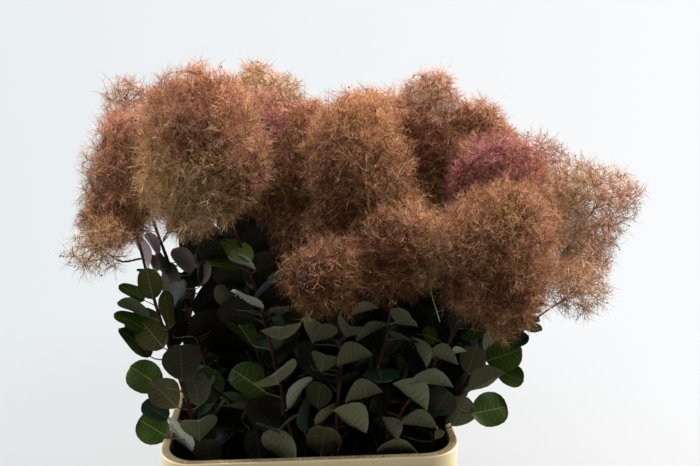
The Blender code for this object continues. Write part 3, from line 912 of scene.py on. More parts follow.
def inner_wall_material():
    """The wall inside the tub, painted darker with depth as painted shade: brown just under the rim, near
    black below it.
    """
    material = plain("inner_wall_painted_shade", (0.03, 0.024, 0.016), 0.5, 0.2)
    tree = material.node_tree
    place = object_place(tree)
    height = add_node(tree, "ShaderNodeSeparateXYZ", {0: place}).outputs["Z"]
    wobble = {0: cloud(tree, place, scale=60, detail=5), 1: 0.012, 2: height}
    level = add_node(tree, "ShaderNodeMath", wobble, operation="MULTIPLY_ADD").outputs[0]
    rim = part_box("container")[1].z
    share = spread(tree, level, (rim - 0.014, rim + 0.004))
    tones = ramp(tree, share, (0.15, (0.020, 0.016, 0.011)), (0.95, (0.24, 0.15, 0.085)))
    feed(material, {"Base Color": tones})
    return material


def pip_materials():
    return [
        plain("pip_pale", (0.60, 0.52, 0.38), 0.4),
        plain("pip_brown", (0.13, 0.10, 0.055), 0.5),
    ]


def leaf_materials():
    """For each tint in turn: upper face, underside, midrib with the stalk, side veins, and the underside's
    side veins painted darker as painted shade.
    """
    dealt = []
    for tint, (upper, under, vein) in LEAF_TINTS.items():
        fine = [a + (b - a) * FINE_VEIN_SHARE for a, b in zip(upper, vein)]
        dealt.append(plain(f"leaf_upper_{tint}", upper, 0.45, 0.06))
        dealt.append(plain(f"leaf_under_{tint}", under, 0.65, 0.08))
        dealt.append(plain(f"leaf_midrib_{tint}", vein, 0.5, 0.1))
        dealt.append(plain(f"leaf_vein_{tint}", fine, 0.5, 0.06))
        # The underside's side veins, painted darker as painted shade
        dealt.append(plain(f"leaf_painted_vein_shade_{tint}", [c * PAINTED_VEIN_SHADE_SHARE for c in under], 0.65, 0.08))
    return dealt


def hair_materials():
    """For each tint in turn: the root and the tip."""
    dealt = []
    for tint, ends in HAIR_TINTS.items():
        for part, colour in zip(("root", "tip"), ends):
            dealt.append(plain(f"hair_{part}_{tint}", colour, 0.8, 0.1))
    return dealt


def twig_materials():
    return [
        plain("twig_olive", (0.20, 0.160, 0.055), 0.6, 0.3),
        plain("twig_wine", (0.16, 0.060, 0.045), 0.6, 0.3),
    ]


def seed_materials():
    return [
        plain("seed_dark", (0.022, 0.014, 0.010), 0.5, 0.4),
        plain("seed_brown", (0.120, 0.050, 0.016), 0.5, 0.4),
        plain("seed_green", (0.20, 0.200, 0.050), 0.5, 0.4),
    ]


# The container


def tub_ring(inset, height):
    """Points round the tub at an inset from its outer edge, even along its sides and its corners."""
    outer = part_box("container")[1]
    quarter_turn = math.radians(90)
    radius = max(TUB_CORNER - inset * CORNER_SHRINK, TIGHTEST_CORNER)
    reach_x, reach_y = outer.x - inset - radius, outer.y - inset - radius
    corners = ((1, 1), (-1, 1), (-1, -1), (1, -1))
    ring = []
    for quarter, (sx, sy) in enumerate(corners):
        for step in range(CORNER_STEPS + 1):
            angle = quarter_turn * (quarter + step / CORNER_STEPS)
            x = sx * reach_x + radius * math.cos(angle)
            ring.append((x, sy * reach_y + radius * math.sin(angle), height))
        x, y, _ = ring[-1]
        next_x, next_y = corners[(quarter + 1) % 4]
        end_x = next_x * reach_x + radius * math.cos(quarter_turn * (quarter + 1))
        end_y = next_y * reach_y + radius * math.sin(quarter_turn * (quarter + 1))
        for step in range(1, SIDE_STEPS):
            share = step / SIDE_STEPS
            ring.append((x + (end_x - x) * share, y + (end_y - y) * share, height))
    return ring


def outer_levels(height):
    """(inset, height) from the land's inner edge over the rim and down the outside to the foot."""
    wall, land, soft, foot = TUB_WALL, TUB_LAND, TUB_SOFT_EDGE, TUB_FOOT_INSET
    skirt = height - TUB_SKIRT
    draft = (foot - (land - wall)) / (height - wall)

    def outside(z):
        return land - wall + (height - wall - z) * draft

    levels = [(land + soft, height - 0.0004), (land, height), (land * 0.5, height + 0.0002), (soft, height)]
    levels += [(soft * 0.3, height - soft * 0.3), (0.0, height - soft)]
    levels += [(0.0, height - TUB_SKIRT * 0.5), (0.0002, skirt + soft)]
    levels += [(0.0006, skirt), (wall, skirt), (wall, height - wall)]
    levels += [(outside(height - wall), height - wall)]
    levels += [(outside(height * share), height * share) for share in (0.86, 0.72, 0.58, 0.44, 0.30, 0.16)]
    levels += [(foot - 0.0002, 0.006), (foot + 0.0008, 0.0018), (foot + 0.0035, 0.0)]
    return levels


def inner_levels(height):
    """(inset, height) from under the land down the inside to the floor."""
    foot = TUB_FOOT_INSET + TUB_WALL
    levels = [(TUB_LAND + 0.0022, height - 0.002), (TUB_LAND + 0.0026, height - 0.008)]
    for share in (0.9, 0.7, 0.5, 0.3, 0.12):
        levels.append((foot - (foot - TUB_LAND) * share, TUB_FLOOR + (height - TUB_FLOOR) * share))
    levels += [(foot + 0.0005, TUB_FLOOR + 0.004), (foot + 0.004, TUB_FLOOR)]
    return levels


def make_container():
    """The tub: skirted rim with soft edges and a worn land painted darker as painted shade, drafted walls,
    a foot, and an inner wall and floor painted dark as painted shade.
    """
    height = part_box("container")[1].z
    bm = bmesh.new()

    def rings_at(levels):
        return [[bm.verts.new(point) for point in tub_ring(inset, z)] for inset, z in levels]

    outer = rings_at(outer_levels(height))
    inner = rings_at(inner_levels(height))
    rings = [*reversed(inner), *outer]
    # The inside's finish is painted shade: dark brown under the rim, near black below
    clean, worn, painted_inner_shade = range(3)
    land = range(len(inner), len(inner) + 3)
    for number, (a, b) in enumerate(zip(rings, rings[1:])):
        finish = worn if number in land else painted_inner_shade if number < len(inner) else clean
        for i in range(len(a)):
            j = (i + 1) % len(a)
            bm.faces.new((a[i], a[j], b[j], b[i])).material_index = finish
    bm.faces.new(inner[-1]).material_index = painted_inner_shade
    bm.faces.new(outer[-1])
    bmesh.ops.recalc_face_normals(bm, faces=bm.faces)
    mesh = bpy.data.meshes.new("tub")
    bm.to_mesh(mesh)
    bm.free()
    mesh.materials.append(
        plastic_material("cream_plastic", (0.79, 0.63, 0.35), (0.87, 0.73, 0.45), dirty=0.0, gloss=0.7)
    )
    # The land: worn, speckled plastic, painted far darker than the cream as painted shade under the leaves
    mesh.materials.append(
        plastic_material("worn_plastic_with_painted_shade", (0.22, 0.165, 0.085), (0.46, 0.37, 0.22), dirty=1.0, gloss=0.0)
    )
    mesh.materials.append(inner_wall_material())
    mesh.shade_smooth()
    mesh.set_sharp_from_angle(angle=SHARP_EDGE)
    tub = new_object("tub", mesh)
    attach(tub, "root")
    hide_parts("container")
    make_pips(height)


def turned_mesh(name, points, sides):
    """A mesh of rings of points, each joined to the next, with both ends closed."""
    faces = list(ring_faces(0, len(points), sides))
    faces.append(tuple(reversed(range(sides))))
    faces.append(tuple(range(len(points) - sides, len(points))))
    mesh = mesh_from(name, points, faces)
    mesh.shade_smooth()
    return mesh


def pip_mesh():
    """A low dome, one unit across, on a short wall that sinks into the rim."""
    sides = 8
    points = []
    for level, reach in ((-0.12, 0.5), (0.04, 0.5), (0.17, 0.34), (0.22, 0.12)):
        for corner in range(sides):
            angle = math.tau * corner / sides
            points.append((reach * math.cos(angle), reach * math.sin(angle), level))
    return turned_mesh("pip", points, sides)


def make_pips(height):
    """Small moulded pips along the rim's land, some of them worn away and some dirty."""
    rng = np.random.default_rng(PIP_SEED)
    ring = np.array(tub_ring(TUB_LAND * PIP_PLACE, height))
    line = np.concatenate([ring, ring[:1]])
    runs = lengths_along(line)
    spots = np.arange(0, runs[-1] - PIP_SPACING / 2, PIP_SPACING)
    spots = spots[rng.uniform(size=len(spots)) < PIP_SHARE]
    spots = spots + rng.normal(0, PIP_JITTER, len(spots))
    place = between(line, runs, spots)
    count = len(place)
    shapes = as_shapes("pip_shapes", [pip_mesh()])
    pips = scatter(
        "rim_pips",
        {
            "place": place,
            "turn": np.zeros((count, 3)),
            "size": rng.uniform(*PIP_SIZES, count),
            "shape": np.zeros(count),
            "tint": rng.choice(2, size=count, p=(0.6, 0.4)),
        },
        shapes,
        scatter_tree("pips", pip_materials()),
    )
    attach(pips, "root")
    drop_shapes(shapes)


# Bark


def make_bark_piece(name, path, seed, material):
    """A tube along a path's centres and radii, with swollen leaf scars and a fine uneven skin."""
    rng = np.random.default_rng(seed)
    centres, radii = path
    lengths = lengths_along(centres)
    rings = max(int(lengths[-1] / BARK_STEP), 4)
    runs = np.linspace(0, lengths[-1], rings + 1)
    line = between(centres, lengths, runs)
    thick = np.interp(runs, lengths, radii) * BARK_SHARE
    tangents = tangents_of(line)
    side = np.cross(tangents[0], (0.3, 0.9, 0.1))
    scars = rng.uniform(0, math.tau, rings + 1)
    points = []
    for step in range(rings + 1):
        side = side - tangents[step] * (side @ tangents[step])
        side /= np.linalg.norm(side)
        other = np.cross(tangents[step], side)
        swell = SCAR_SWELL if step % SCAR_EVERY == SCAR_EVERY // 2 else 0.0
        for corner in range(BARK_SIDES):
            angle = math.tau * corner / BARK_SIDES
            near_scar = max(0.0, math.cos(angle - scars[step])) ** 3
            reach = thick[step] + swell * near_scar + rng.normal(0, BARK_UNEVEN)
            points.append(line[step] + (side * math.cos(angle) + other * math.sin(angle)) * reach)
    mesh = turned_mesh(name, points, BARK_SIDES)
    mesh.materials.append(material)
    return new_object(name, mesh)


def make_bark():
    """The bark of every stem and bough. Returns the stems' paths and each plume's neck, by name."""
    bark = bark_material()
    up = np.array([0.0, 0.0, 1.0])
    stem_paths = {name: centreline("stem_" + name, up, STEM_SLICES) for name in STEM_NAMES}
    for index, (name, path) in enumerate(stem_paths.items()):
        piece = make_bark_piece("bark_" + name, path, STEM_BARK_SEED + index, bark)
        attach(piece, "root")
        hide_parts("stem_" + name)

    necks = {name: path[0][-1] for name, path in stem_paths.items()}
    for index, name in enumerate(BOUGH_NAMES):
        low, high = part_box("bough_" + name)
        plume_low, plume_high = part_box("plume_" + name)
        axis = np.array((plume_low + plume_high) / 2 - (low + high) / 2)
        axis /= np.linalg.norm(axis)
        path = centreline("bough_" + name, axis, BOUGH_SLICES)
        necks[name] = path[0][-1]
        piece = make_bark_piece("side_bark_" + name, path, BOUGH_BARK_SEED + index, bark)
        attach(piece, "root")
        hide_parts("bough_" + name)
    return stem_paths, necks


# Leaves


class Leaf:
    """One leaf along X, in the making: the shape of its blade, and its mesh so far."""

    def __init__(self, index, foot):
        rng = np.random.default_rng(LEAF_SHAPE_SEED + index)
        folded = FLAT_SHAPES <= index < FLAT_SHAPES + FOLDED_SHAPES
        form = FOLDED_FORM if folded else FLAT_FORM if index < FLAT_SHAPES else CURVED_FORM
        self.fold, self.droop, self.twist = (rng.uniform(*ends) for ends in form)
        self.ruffle = rng.uniform(*LEAF_RUFFLES)
        self.broad = rng.uniform(*LEAF_BREADTHS)
        self.lean = rng.uniform(*LEAF_LEANS)
        self.full, self.pointed = FOLDED_OUTLINE if folded else USUAL_OUTLINE
        self.index = index
        self.foot = foot
        self.verts, self.faces, self.parts = [], [], []

    def point(self, t, s, lift):
        """Point of the blade at t along it and s across it, lifted off its middle surface."""
        outline = max(0.0, 1 - abs(2 * t ** 1.12 - 1) ** self.full) ** self.pointed
        half = LEAF_WIDTH / 2 * self.broad * outline * (1 + self.lean * (0.5 if s > 0 else -0.5))
        x = self.foot + t * LEAF_LENGTH - abs(s) ** 2 * 0.0008
        y = s * half
        z = abs(y) * self.fold + math.sin(t * 7 + s * 2.5 + self.index) * self.ruffle * abs(s)
        z -= self.droop * t * t * LEAF_LENGTH * 0.5
        z += lift
        cosine, sine = math.cos(self.twist * t), math.sin(self.twist * t)
        return (x, y * cosine - z * sine, y * sine + z * cosine)

    def add_face(self, face, part, under):
        self.faces.append(face if under else face[::-1])
        self.parts.append(part)

    def add_sheet(self, lift, under):
        """One side of the blade. It thins towards its edge."""
        start, wide = len(self.verts), len(LEAF_COLUMNS)
        for t in LEAF_ROWS:
            for s in LEAF_COLUMNS:
                thin = 0.25 if abs(s) == 1.0 or t in (0.0, 1.0) else 1.0
                self.verts.append(self.point(t, s, lift * thin))
        for row in range(len(LEAF_ROWS) - 1):
            for column in range(wide - 1):
                a = start + row * wide + column
                for face in ((a, a + wide, a + wide + 1), (a, a + wide + 1, a + 1)):
                    self.add_face(face, UNDER if under else UPPER, under)

    def add_vein(self, points, width, lift, under, part):
        """A narrow strip through (t, s) points, which gets narrower towards its end."""
        start = len(self.verts)
        whole = Vector(self.point(*points[-1], lift)) - Vector(self.point(*points[0], lift))
        for step, (t, s) in enumerate(points):
            half = width * (1 - 0.65 * step / (len(points) - 1))
            x, y, z = self.point(t, s, lift)
            before = Vector(self.point(max(t - 0.02, 0.0), s, lift))
            after = Vector(self.point(min(t + 0.02, 1.0), s, lift))
            way = after - before if part == MIDRIB else whole
            across = Vector((-way.y, way.x, 0)).normalized() * half
            self.verts.append((x - across.x, y - across.y, z))
            self.verts.append((x + across.x, y + across.y, z))
        for a in range(start, len(self.verts) - 2, 2):
            self.add_face((a, a + 1, a + 3, a + 2), part, under)

    def add_stalk(self):
        """The stalk, from the origin to the foot of the blade."""
        steps, sides, sag = 4, 4, 0.0010
        start = len(self.verts)
        for step in range(steps + 1):
            share = step / steps
            x = share * (LEAF_STALK + 0.001)
            z = -sag * math.sin(share * math.pi)
            r = LEAF_STALK_RADIUS * (1.25 - 0.5 * share)
            for corner in range(sides):
                angle = math.tau * (corner + 0.5) / sides
                self.verts.append((x, r * math.cos(angle), z + r * math.sin(angle)))
        for face in ring_faces(start, len(self.verts), sides):
            self.faces.append(face)
            self.parts.append(MIDRIB)


def leaf_mesh(index, stalked):
    """One leaf along X. The faces' part attribute says upper, under, midrib, side vein, or painted vein
    shade on the underside.

    A stalked leaf starts at the foot of its stalk, the other at the foot of its blade.
    """
    leaf = Leaf(index, LEAF_STALK if stalked else 0.0)
    half = LEAF_THICKNESS / 2
    leaf.add_sheet(half, False)
    leaf.add_sheet(-half, True)
    for under in (False, True):
        lift = -half - VEIN_RISES[1] if under else half + VEIN_RISES[0]
        leaf.add_vein([(t, 0.0) for t in LEAF_ROWS], MIDRIB_WIDTHS[under], lift, under, MIDRIB)
        for t in SIDE_VEINS:
            for side in (-1, 1):
                line = [(t, 0.0), (t + 0.06, side * 0.45), (t + 0.13, side * 0.86)]
                leaf.add_vein(line, SIDE_VEIN_WIDTHS[under], lift, under, PAINTED_VEIN_SHADE if under else SIDE_VEIN)
    if stalked:
        leaf.add_stalk()
    mesh = mesh_from(f"leaf_{index}", leaf.verts, leaf.faces)
    store(mesh, "part", "INT", leaf.parts, "FACE")
    mesh.shade_smooth()
    return mesh


def raise_clear(place, aim, size, corner):
    """A leaf's direction, raised until the leaf clears the container's wall, or None if it can't."""
    tries, least_rise, raised = 8, 0.25, np.array([0.0, 0.0, 0.35])
    half = LEAF_WIDTH / 2 * size
    for _ in range(tries):
        aim[2] = max(aim[2], least_rise)
        aim /= np.linalg.norm(aim)
        clear = True
        for run in (LEAF_STALK, LEAF_STALK + LEAF_LENGTH * 0.5, LEAF_STALK + LEAF_LENGTH):
            x, y, z = place + aim * run * size
            near = half * 0.6 if run > LEAF_STALK else 0.002
            room_x, room_y = corner.x - WALL_CLEARANCE - near, corner.y - WALL_CLEARANCE - near
            if z < corner.z + near * 0.5 and not (abs(x) < room_x and abs(y) < room_y):
                clear = False
        if clear:
            return aim
        aim = aim + raised
    return None


class View:
    """What the camera sees: which point lies at a pixel, and which pixel at a point.

    placed holds each stem's leaves in view, and seen the column, row, depth and reach of all of them.
    """

    def __init__(self):
        turn = Euler((math.radians(90) - CAMERA_PITCH, 0, -CAMERA_HEADING)).to_matrix()
        self.right, self.up, back = (np.array(turn.col[k]) for k in range(3))
        self.ahead = -back
        self.place = np.array(CAMERA_PLACE)
        self.placed = {}
        self.seen = []

    def ray(self, u, v):
        """The way to a pixel, as long as makes it one deep."""
        across = (u - PHOTO_WIDTH / 2) / PHOTO_FOCUS
        down = (v - PHOTO_HEIGHT / 2) / PHOTO_FOCUS
        return self.ahead + self.right * across - self.up * down

    def pixel(self, point):
        """Column, row and depth of a point."""
        away = point - self.place
        depth = away @ self.ahead
        u = PHOTO_WIDTH / 2 + away @ self.right / depth * PHOTO_FOCUS
        v = PHOTO_HEIGHT / 2 - away @ self.up / depth * PHOTO_FOCUS
        return u, v, depth


def seen_leaf(view, path, row):
    """Foot of the blade, its axis, upper normal, size and the foot of its stalk, for a leaf in view."""
    u, v, way, long, wide, face, _, before = row
    ray = view.ray(u, v)
    towards = -ray / np.linalg.norm(ray)
    flat = view.right * math.cos(math.radians(way)) + view.up * math.sin(math.radians(way))
    flat -= towards * (flat @ towards)
    flat /= np.linalg.norm(flat)
    least, most = SEEN_SIZES
    wanted = WELL_BEFORE if before == 2 else 0.0
    best = None
    for depth in np.linspace(*VIEW_DEPTHS):
        pixel = depth / PHOTO_FOCUS
        size = min(max(long * pixel / LEAF_LENGTH, wide * pixel / LEAF_WIDTH, least), most)
        sine = min(long * pixel / (LEAF_LENGTH * size), 1.0)
        lean = math.sqrt(1 - sine * sine) * (-1 if face == "upper" else 1)
        axis = flat * sine + towards * lean
        foot = view.place + ray * depth - axis * LEAF_LENGTH * size * 0.5
        stalk_foot, tangent = at_height(path, foot[2] - SEEN_RISE)
        gap = np.linalg.norm(foot - stalk_foot)
        nearer = (stalk_foot - foot) @ view.ahead * (1 if before > 0 else -1)
        cost = abs(gap - SEEN_STALK) + max(0.0, wanted - nearer) * WRONG_SIDE
        if best is None or cost < best[0]:
            best = (cost, foot, axis, size, pixel, stalk_foot, tangent)
    _, foot, axis, size, pixel, stalk_foot, tangent = best
    facing = towards - axis * (towards @ axis)
    facing /= np.linalg.norm(facing)
    cosine = min(wide * pixel / (LEAF_WIDTH * size), 1.0)
    side = np.cross(axis, facing) * math.sqrt(1 - cosine * cosine)
    sign = 1 if face == "upper" else -1
    turns = [sign * (facing * cosine + side * turned) for turned in (1, -1)]
    normal = max(turns, key=lambda turned: turned[2])
    return foot, axis, normal, size, stalk_foot, tangent


def stalk_line(stalk_foot, tangent, foot, axis):
    """A bowed line from the stem to just inside the foot of a blade."""
    span = np.linalg.norm(foot - stalk_foot)
    leave = unit(unit(foot - stalk_foot) + tangent * 0.8) * span * 0.4
    arrive = axis * span * 0.35
    a, b, c, d = stalk_foot, stalk_foot + leave, foot - arrive, foot + axis * 0.0015
    shares = np.linspace(0, 1, 7)[:, None]
    rest = 1 - shares
    return a * rest ** 3 + 3 * b * rest ** 2 * shares + 3 * c * rest * shares ** 2 + d * shares ** 3


def hides_view(view, spots, half):
    """Whether a leaf's blade would cover a leaf in view or an open place, or pass the foliage's edge."""
    rows, lefts, rights = zip(*FOLIAGE_EDGES)
    for spot in spots:
        u, v, depth = view.pixel(spot)
        reach = half / depth * PHOTO_FOCUS
        past = u - reach < np.interp(v, rows, lefts) or u + reach > np.interp(v, rows, rights)
        if v > rows[0] and past:
            return True
        if any(math.hypot(u - column, v - row) < gap + reach for column, row, gap in FOLIAGE_GAPS):
            return True
        for seen_u, seen_v, seen_depth, seen_reach in view.seen:
            near = math.hypot(u - seen_u, v - seen_v) < seen_reach + reach * 0.7
            if near and depth < seen_depth + SEEN_CLEARANCE:
                return True
    return False


def leaf_points(name, path, seed, view, plumes):
    """Leaves in a spiral up a stem, wherever they hide no leaf in view.

    Above the stem's leaf mass they are fewer and take more of the darkest tints, as painted shade under the
    plumes, and stay clear of the plumes.
    """
    rng = np.random.default_rng(seed)
    low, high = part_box("leaves_" + name)
    start = low.z + SPIRAL_FOOT
    ripe = high.z + SPIRAL_TOP
    top = max(ripe, min(path[-1][2] - BARE_NECK, ripe + LEAFY_RISE))
    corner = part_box("container")[1]
    count = int((top - start) / LEAF_SPACING)
    tints = list(LEAF_TINTS)
    columns = empty_columns()
    angle = rng.uniform(0, math.tau)
    for step in range(count):
        height = start + (top - start) * (step / max(count - 1, 1)) ** 1.08 + rng.normal(0, HEIGHT_JITTER)
        share = (height - start) / (ripe - start)
        place, tangent = at_height(path, height)
        angle += GOLDEN_TURN + rng.normal(0, TURN_JITTER)
        out = np.array([math.cos(angle), math.sin(angle), 0.0])
        out -= tangent * (out @ tangent)
        out /= np.linalg.norm(out)
        size = rng.uniform(*LEAF_SIZES) * (1.08 - 0.22 * ease(share, 0.55, 1.0))
        shape = LEAF_SHAPES + int(rng.integers(LEAF_SHAPES))
        high_up = share > 1
        usual = HIGH_TINTS if high_up else USUAL_TINTS
        tint = rng.choice(list(usual), p=list(usual.values()))
        spin = rng.normal(0, LEAF_SPIN)
        skipped = rng.uniform() < HIGH_LEAVES_SKIPPED
        aim = raise_clear(place, out + tangent * rng.uniform(*LEAF_RISES), size, corner)
        if aim is None or (high_up and skipped):
            continue
        spots = [place + aim * (LEAF_STALK + LEAF_LENGTH * t) * size for t in (0.15, 0.5, 0.85)]
        if min(plume.level(np.array(spots)).min() for plume in plumes) < PLUME_CLEARANCE:
            continue
        if hides_view(view, spots, LEAF_WIDTH * 0.4 * size):
            continue
        columns["place"].append(place + out * BARK_GAP)
        columns["turn"].append((spin, -math.asin(aim[2]), math.atan2(aim[1], aim[0])))
        columns["size"].append(size)
        columns["shape"].append(shape)
        columns["tint"].append(tints.index(tint))
    return columns


def place_seen_leaves(view, stem_paths):
    """Finds where each leaf in view lies, and tells the view."""
    for name, rows in LEAVES_IN_VIEW.items():
        view.placed[name] = [seen_leaf(view, stem_paths[name][0], row) for row in rows]
        for row, (foot, axis, _, size, _, _) in zip(rows, view.placed[name]):
            depth = view.pixel(foot + axis * LEAF_LENGTH * size * 0.5)[2]
            view.seen.append((row[0], row[1], depth, (row[3] + row[4]) * SEEN_REACH))


def add_seen_leaves(view, name, columns, stalks):
    """Adds a stem's leaves in view to its columns, and their stalks to the list of lines."""
    rng = np.random.default_rng(SEEN_LEAF_SEED)
    tints = list(LEAF_TINTS)
    for row, placed in zip(LEAVES_IN_VIEW.get(name, ()), view.placed.get(name, ())):
        foot, axis, normal, size, stalk_foot, tangent = placed
        folded = row[5] == "folded"
        shape = FLAT_SHAPES + rng.integers(FOLDED_SHAPES) if folded else rng.integers(FLAT_SHAPES)
        columns["place"].append(foot)
        columns["turn"].append(turn_of(axis, normal))
        columns["size"].append(size)
        columns["shape"].append(int(shape))
        columns["tint"].append(tints.index(row[6]))
        stalks.append((stalk_line(stalk_foot, tangent, foot, axis), max(size, 0.4)))


def make_foliage(view, stem_paths, plumes):
    """The leaves of every stem, a piece for each, and the stalks of the leaves in view."""
    place_seen_leaves(view, stem_paths)
    blades = [leaf_mesh(i, False) for i in range(LEAF_SHAPES)]
    stalked = [leaf_mesh(i, True) for i in range(LEAF_SHAPES)]
    shapes = as_shapes("leaf_shapes", blades + stalked)
    tree = scatter_tree("leaves", leaf_materials(), parts=5)
    stalks = []
    for index, name in enumerate(STEM_NAMES):
        path = stem_paths[name][0]
        columns = leaf_points(name, path, SPIRAL_SEED + index, view, plumes)
        add_seen_leaves(view, name, columns, stalks)
        foliage = scatter("foliage_" + name, columns, shapes, tree)
        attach(foliage, "root")
        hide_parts("leaves_" + name)
    make_stalks(view, stalks)
    drop_shapes(shapes)


def make_stalks(view, stalks):
    """The stalks of the leaves in view, and a stray yellow-green shoot under the plumes, in one piece."""
    lines = np.array([line for line, _ in stalks])
    sizes = np.array([size for _, size in stalks])
    thick = np.linspace(1.3, 0.8, lines.shape[1])[None, :] * sizes[:, None] * LEAF_STALK_RADIUS
    shoot_points = 9
    shoot = np.array([view.place + view.ray(u, v) * depth for u, v, depth in STRAY_SHOOT])
    steps = np.linspace(0, len(shoot) - 1, shoot_points)
    shoot = between(shoot, range(len(shoot)), steps)
    materials = [
        plain("leaf_stalk", (0.105, 0.100, 0.040), 0.5, 0.3),
        plain("stray_shoot", (0.230, 0.240, 0.080), 0.5, 0.3),
    ]
    orders = [(lines, thick, 0), (shoot[None], np.linspace(0.0004, 0.0006, shoot_points), 1)]
    piece = tubes("leaf_stalks", orders, twig_tree("stalks", materials, sides=5))
    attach(piece, "root")


# Plumes


def hair_mesh(index):
    """A hair along X, one unit long. The part attribute is 0 at its root and 1 at its tips.

    The first half of the shapes are fine hairs that fork, the rest coarse blades of two faces.
    """
    rng = np.random.default_rng(HAIR_SHAPE_SEED + index)
    fine = index < HAIR_SHAPES
    bend = rng.uniform(0.04, 0.22) * rng.choice((-1, 1))
    wave = rng.uniform(-0.05, 0.05)
    half = (FINE_HAIR_WIDTH if fine else COARSE_HAIR_WIDTH) / HAIR_LENGTH / 2
    if fine:
        fork, fork_y = rng.uniform(0.30, 0.55), bend * 0.4
        points = [(0.0, half, 0.0), (0.0, -half, 0.0)]
        points.append((fork, fork_y + half * 0.85, wave))
        points.append((fork, fork_y - half * 0.85, wave + half * 0.6))
        for side in (1, -1):
            angle = side * rng.uniform(0.15, 0.75)
            run = (1 - fork) * rng.uniform(0.75, 1.05)
            points.append((fork + run * math.cos(angle), fork_y + run * math.sin(angle), -wave * side * 3))
        faces, parts = [(0, 2, 3, 1), (2, 4, 3), (2, 5, 3)], (0, 1, 1)
    else:
        points = [(0.0, 0.0, 0.0), (0.42, bend * 0.2 + half, wave), (0.42, bend * 0.2 - half, wave)]
        points.append((1.0, bend, 0.0))
        faces, parts = [(0, 1, 2), (1, 3, 2)], (0, 1)
    mesh = mesh_from(f"hair_{index}", points, faces)
    store(mesh, "part", "INT", parts, "FACE")
    return mesh


def seed_mesh(index):
    """A small plump seed, one unit across, a little flattened."""
    rng = np.random.default_rng(SEED_SHAPE_SEED + index)
    sides = 6
    rings = ((-0.5, 0.0), (-0.28, 0.42), (0.12, 0.5), (0.42, 0.26), (0.5, 0.0))
    points = []
    for level, reach in rings:
        for corner in range(sides):
            angle = math.tau * corner / sides
            r = reach * rng.uniform(0.88, 1.08)
            points.append((level, r * math.cos(angle), r * math.sin(angle) * 0.7))
    faces = [(a, d, c, b) for a, b, c, d in ring_faces(0, len(points), sides)]
    mesh = mesh_from(f"seed_{index}", points, faces)
    mesh.shade_smooth()
    return mesh


def random_directions(rng, count):
    return unit(rng.normal(size=(count, 3)))


class Solid:
    """A plume's solid: its box and centre, how far it reaches, and the room its hairs have."""

    def __init__(self, name, seed):
        mesh = NODES["plume_" + name].data
        points = np.array([v.co for v in mesh.vertices])
        self.low, self.high = points.min(0), points.max(0)
        self.centre = (self.low + self.high) / 2
        self.half = (self.high - self.low) / 2
        corners = [Vector(p) for p in points]
        self.tree = BVHTree.FromPolygons(corners, [p.vertices[:3] for p in mesh.polygons])
        rng = np.random.default_rng(seed)
        self.uneven = UNEVEN.get(name, UNEVEN["usual"])
        self.swells = SWELLS.get(name, ())
        self.waves = random_directions(rng, OUTLINE_WAVES) * rng.uniform(*WAVE_NUMBERS, (OUTLINE_WAVES, 1))
        self.shifts = rng.uniform(0, math.tau, OUTLINE_WAVES)
        self.others = []
        self.litres = 0.0

    def meet(self, others):
        """Learns which plumes stand before it, then how many litres it holds."""
        front = self.centre[1] - PARTING_STEP
        self.others = [other for other in others if other.centre[1] < front]
        _, inside = self.scatter_trial(np.random.default_rng(LITRE_SEED), LITRE_TRIALS, 1.0)
        self.litres = inside.mean() * self.room().prod() * 1000

    def room(self):
        """The size of a box that holds all that hairs may reach."""
        return self.half * 2 * (1 + PARTING_REACH)

    def scatter_trial(self, rng, count, share):
        """Points spread evenly through the room's box, and which lie within a share of the reach."""
        trial = self.centre + rng.uniform(-0.5, 0.5, (count, 3)) * self.room()
        return trial, np.linalg.norm(trial - self.centre, axis=1) < self.limit(trial) * share

    def reach(self, directions):
        """How far the unevenly swollen solid reaches from its centre."""
        origin = Vector(self.centre)
        far = np.empty(len(directions))
        for row, direction in enumerate(directions):
            hit = self.tree.ray_cast(origin, Vector(direction))
            far[row] = hit[3] if hit[0] is not None else 0.03
        for way, growth in self.swells:
            far *= 1 + growth * ease(directions @ unit(np.array(way)), 0.6, 1.0)
        return far * (1 + self.uneven * np.cos(directions @ self.waves.T + self.shifts).mean(axis=1))

    def level(self, points):
        """How far out points lie: 0 at the solid's centre, 1 at the middle of its box's sides."""
        return np.linalg.norm((points - self.centre) / self.half, axis=-1)

    def level_from_front(self, points):
        """The same as seen from the front, whatever the points' depth."""
        return np.linalg.norm(((points - self.centre) / self.half)[..., [0, 2]], axis=-1)

    def limit(self, points):
        """How far hairs may reach on the way to points, further sideways behind other plumes."""
        ways = unit(points - self.centre)
        near = np.min([other.level_from_front(points) for other in self.others], axis=0, initial=9)
        meets = ease(near, 1.25, 0.95)
        return self.reach(ways) * (1 + PARTING_REACH * meets * (1 - ways[:, 1] ** 2))

    def fill(self, rng, count, share):
        """Points spread evenly through the room, up to a share of its reach."""
        found = []
        while sum(len(points) for points in found) < count:
            trial, inside = self.scatter_trial(rng, count * 3, share)
            found.append(trial[inside])
        return np.concatenate(found)[:count]


def spread_apart(points, count):
    """The count of the points that lie furthest from each other, so that they leave no hole."""
    chosen = [0]
    gap = np.linalg.norm(points - points[0], axis=1)
    for _ in range(count - 1):
        nearest = int(gap.argmax())
        chosen.append(nearest)
        gap = np.minimum(gap, np.linalg.norm(points - points[nearest], axis=1))
    return points[chosen]


def bent(rng, starts, ends, steps, sag):
    """Twig polylines from starts to ends, bowed a little to a random side."""
    shares = np.linspace(0, 1, steps + 1)
    bow = random_directions(rng, len(starts)) * np.linalg.norm(ends - starts, axis=1)[:, None] * sag
    lines = starts[:, None, :] * (1 - shares)[None, :, None] + ends[:, None, :] * shares[None, :, None]
    return lines + bow[:, None, :] * np.sin(shares * math.pi)[None, :, None]


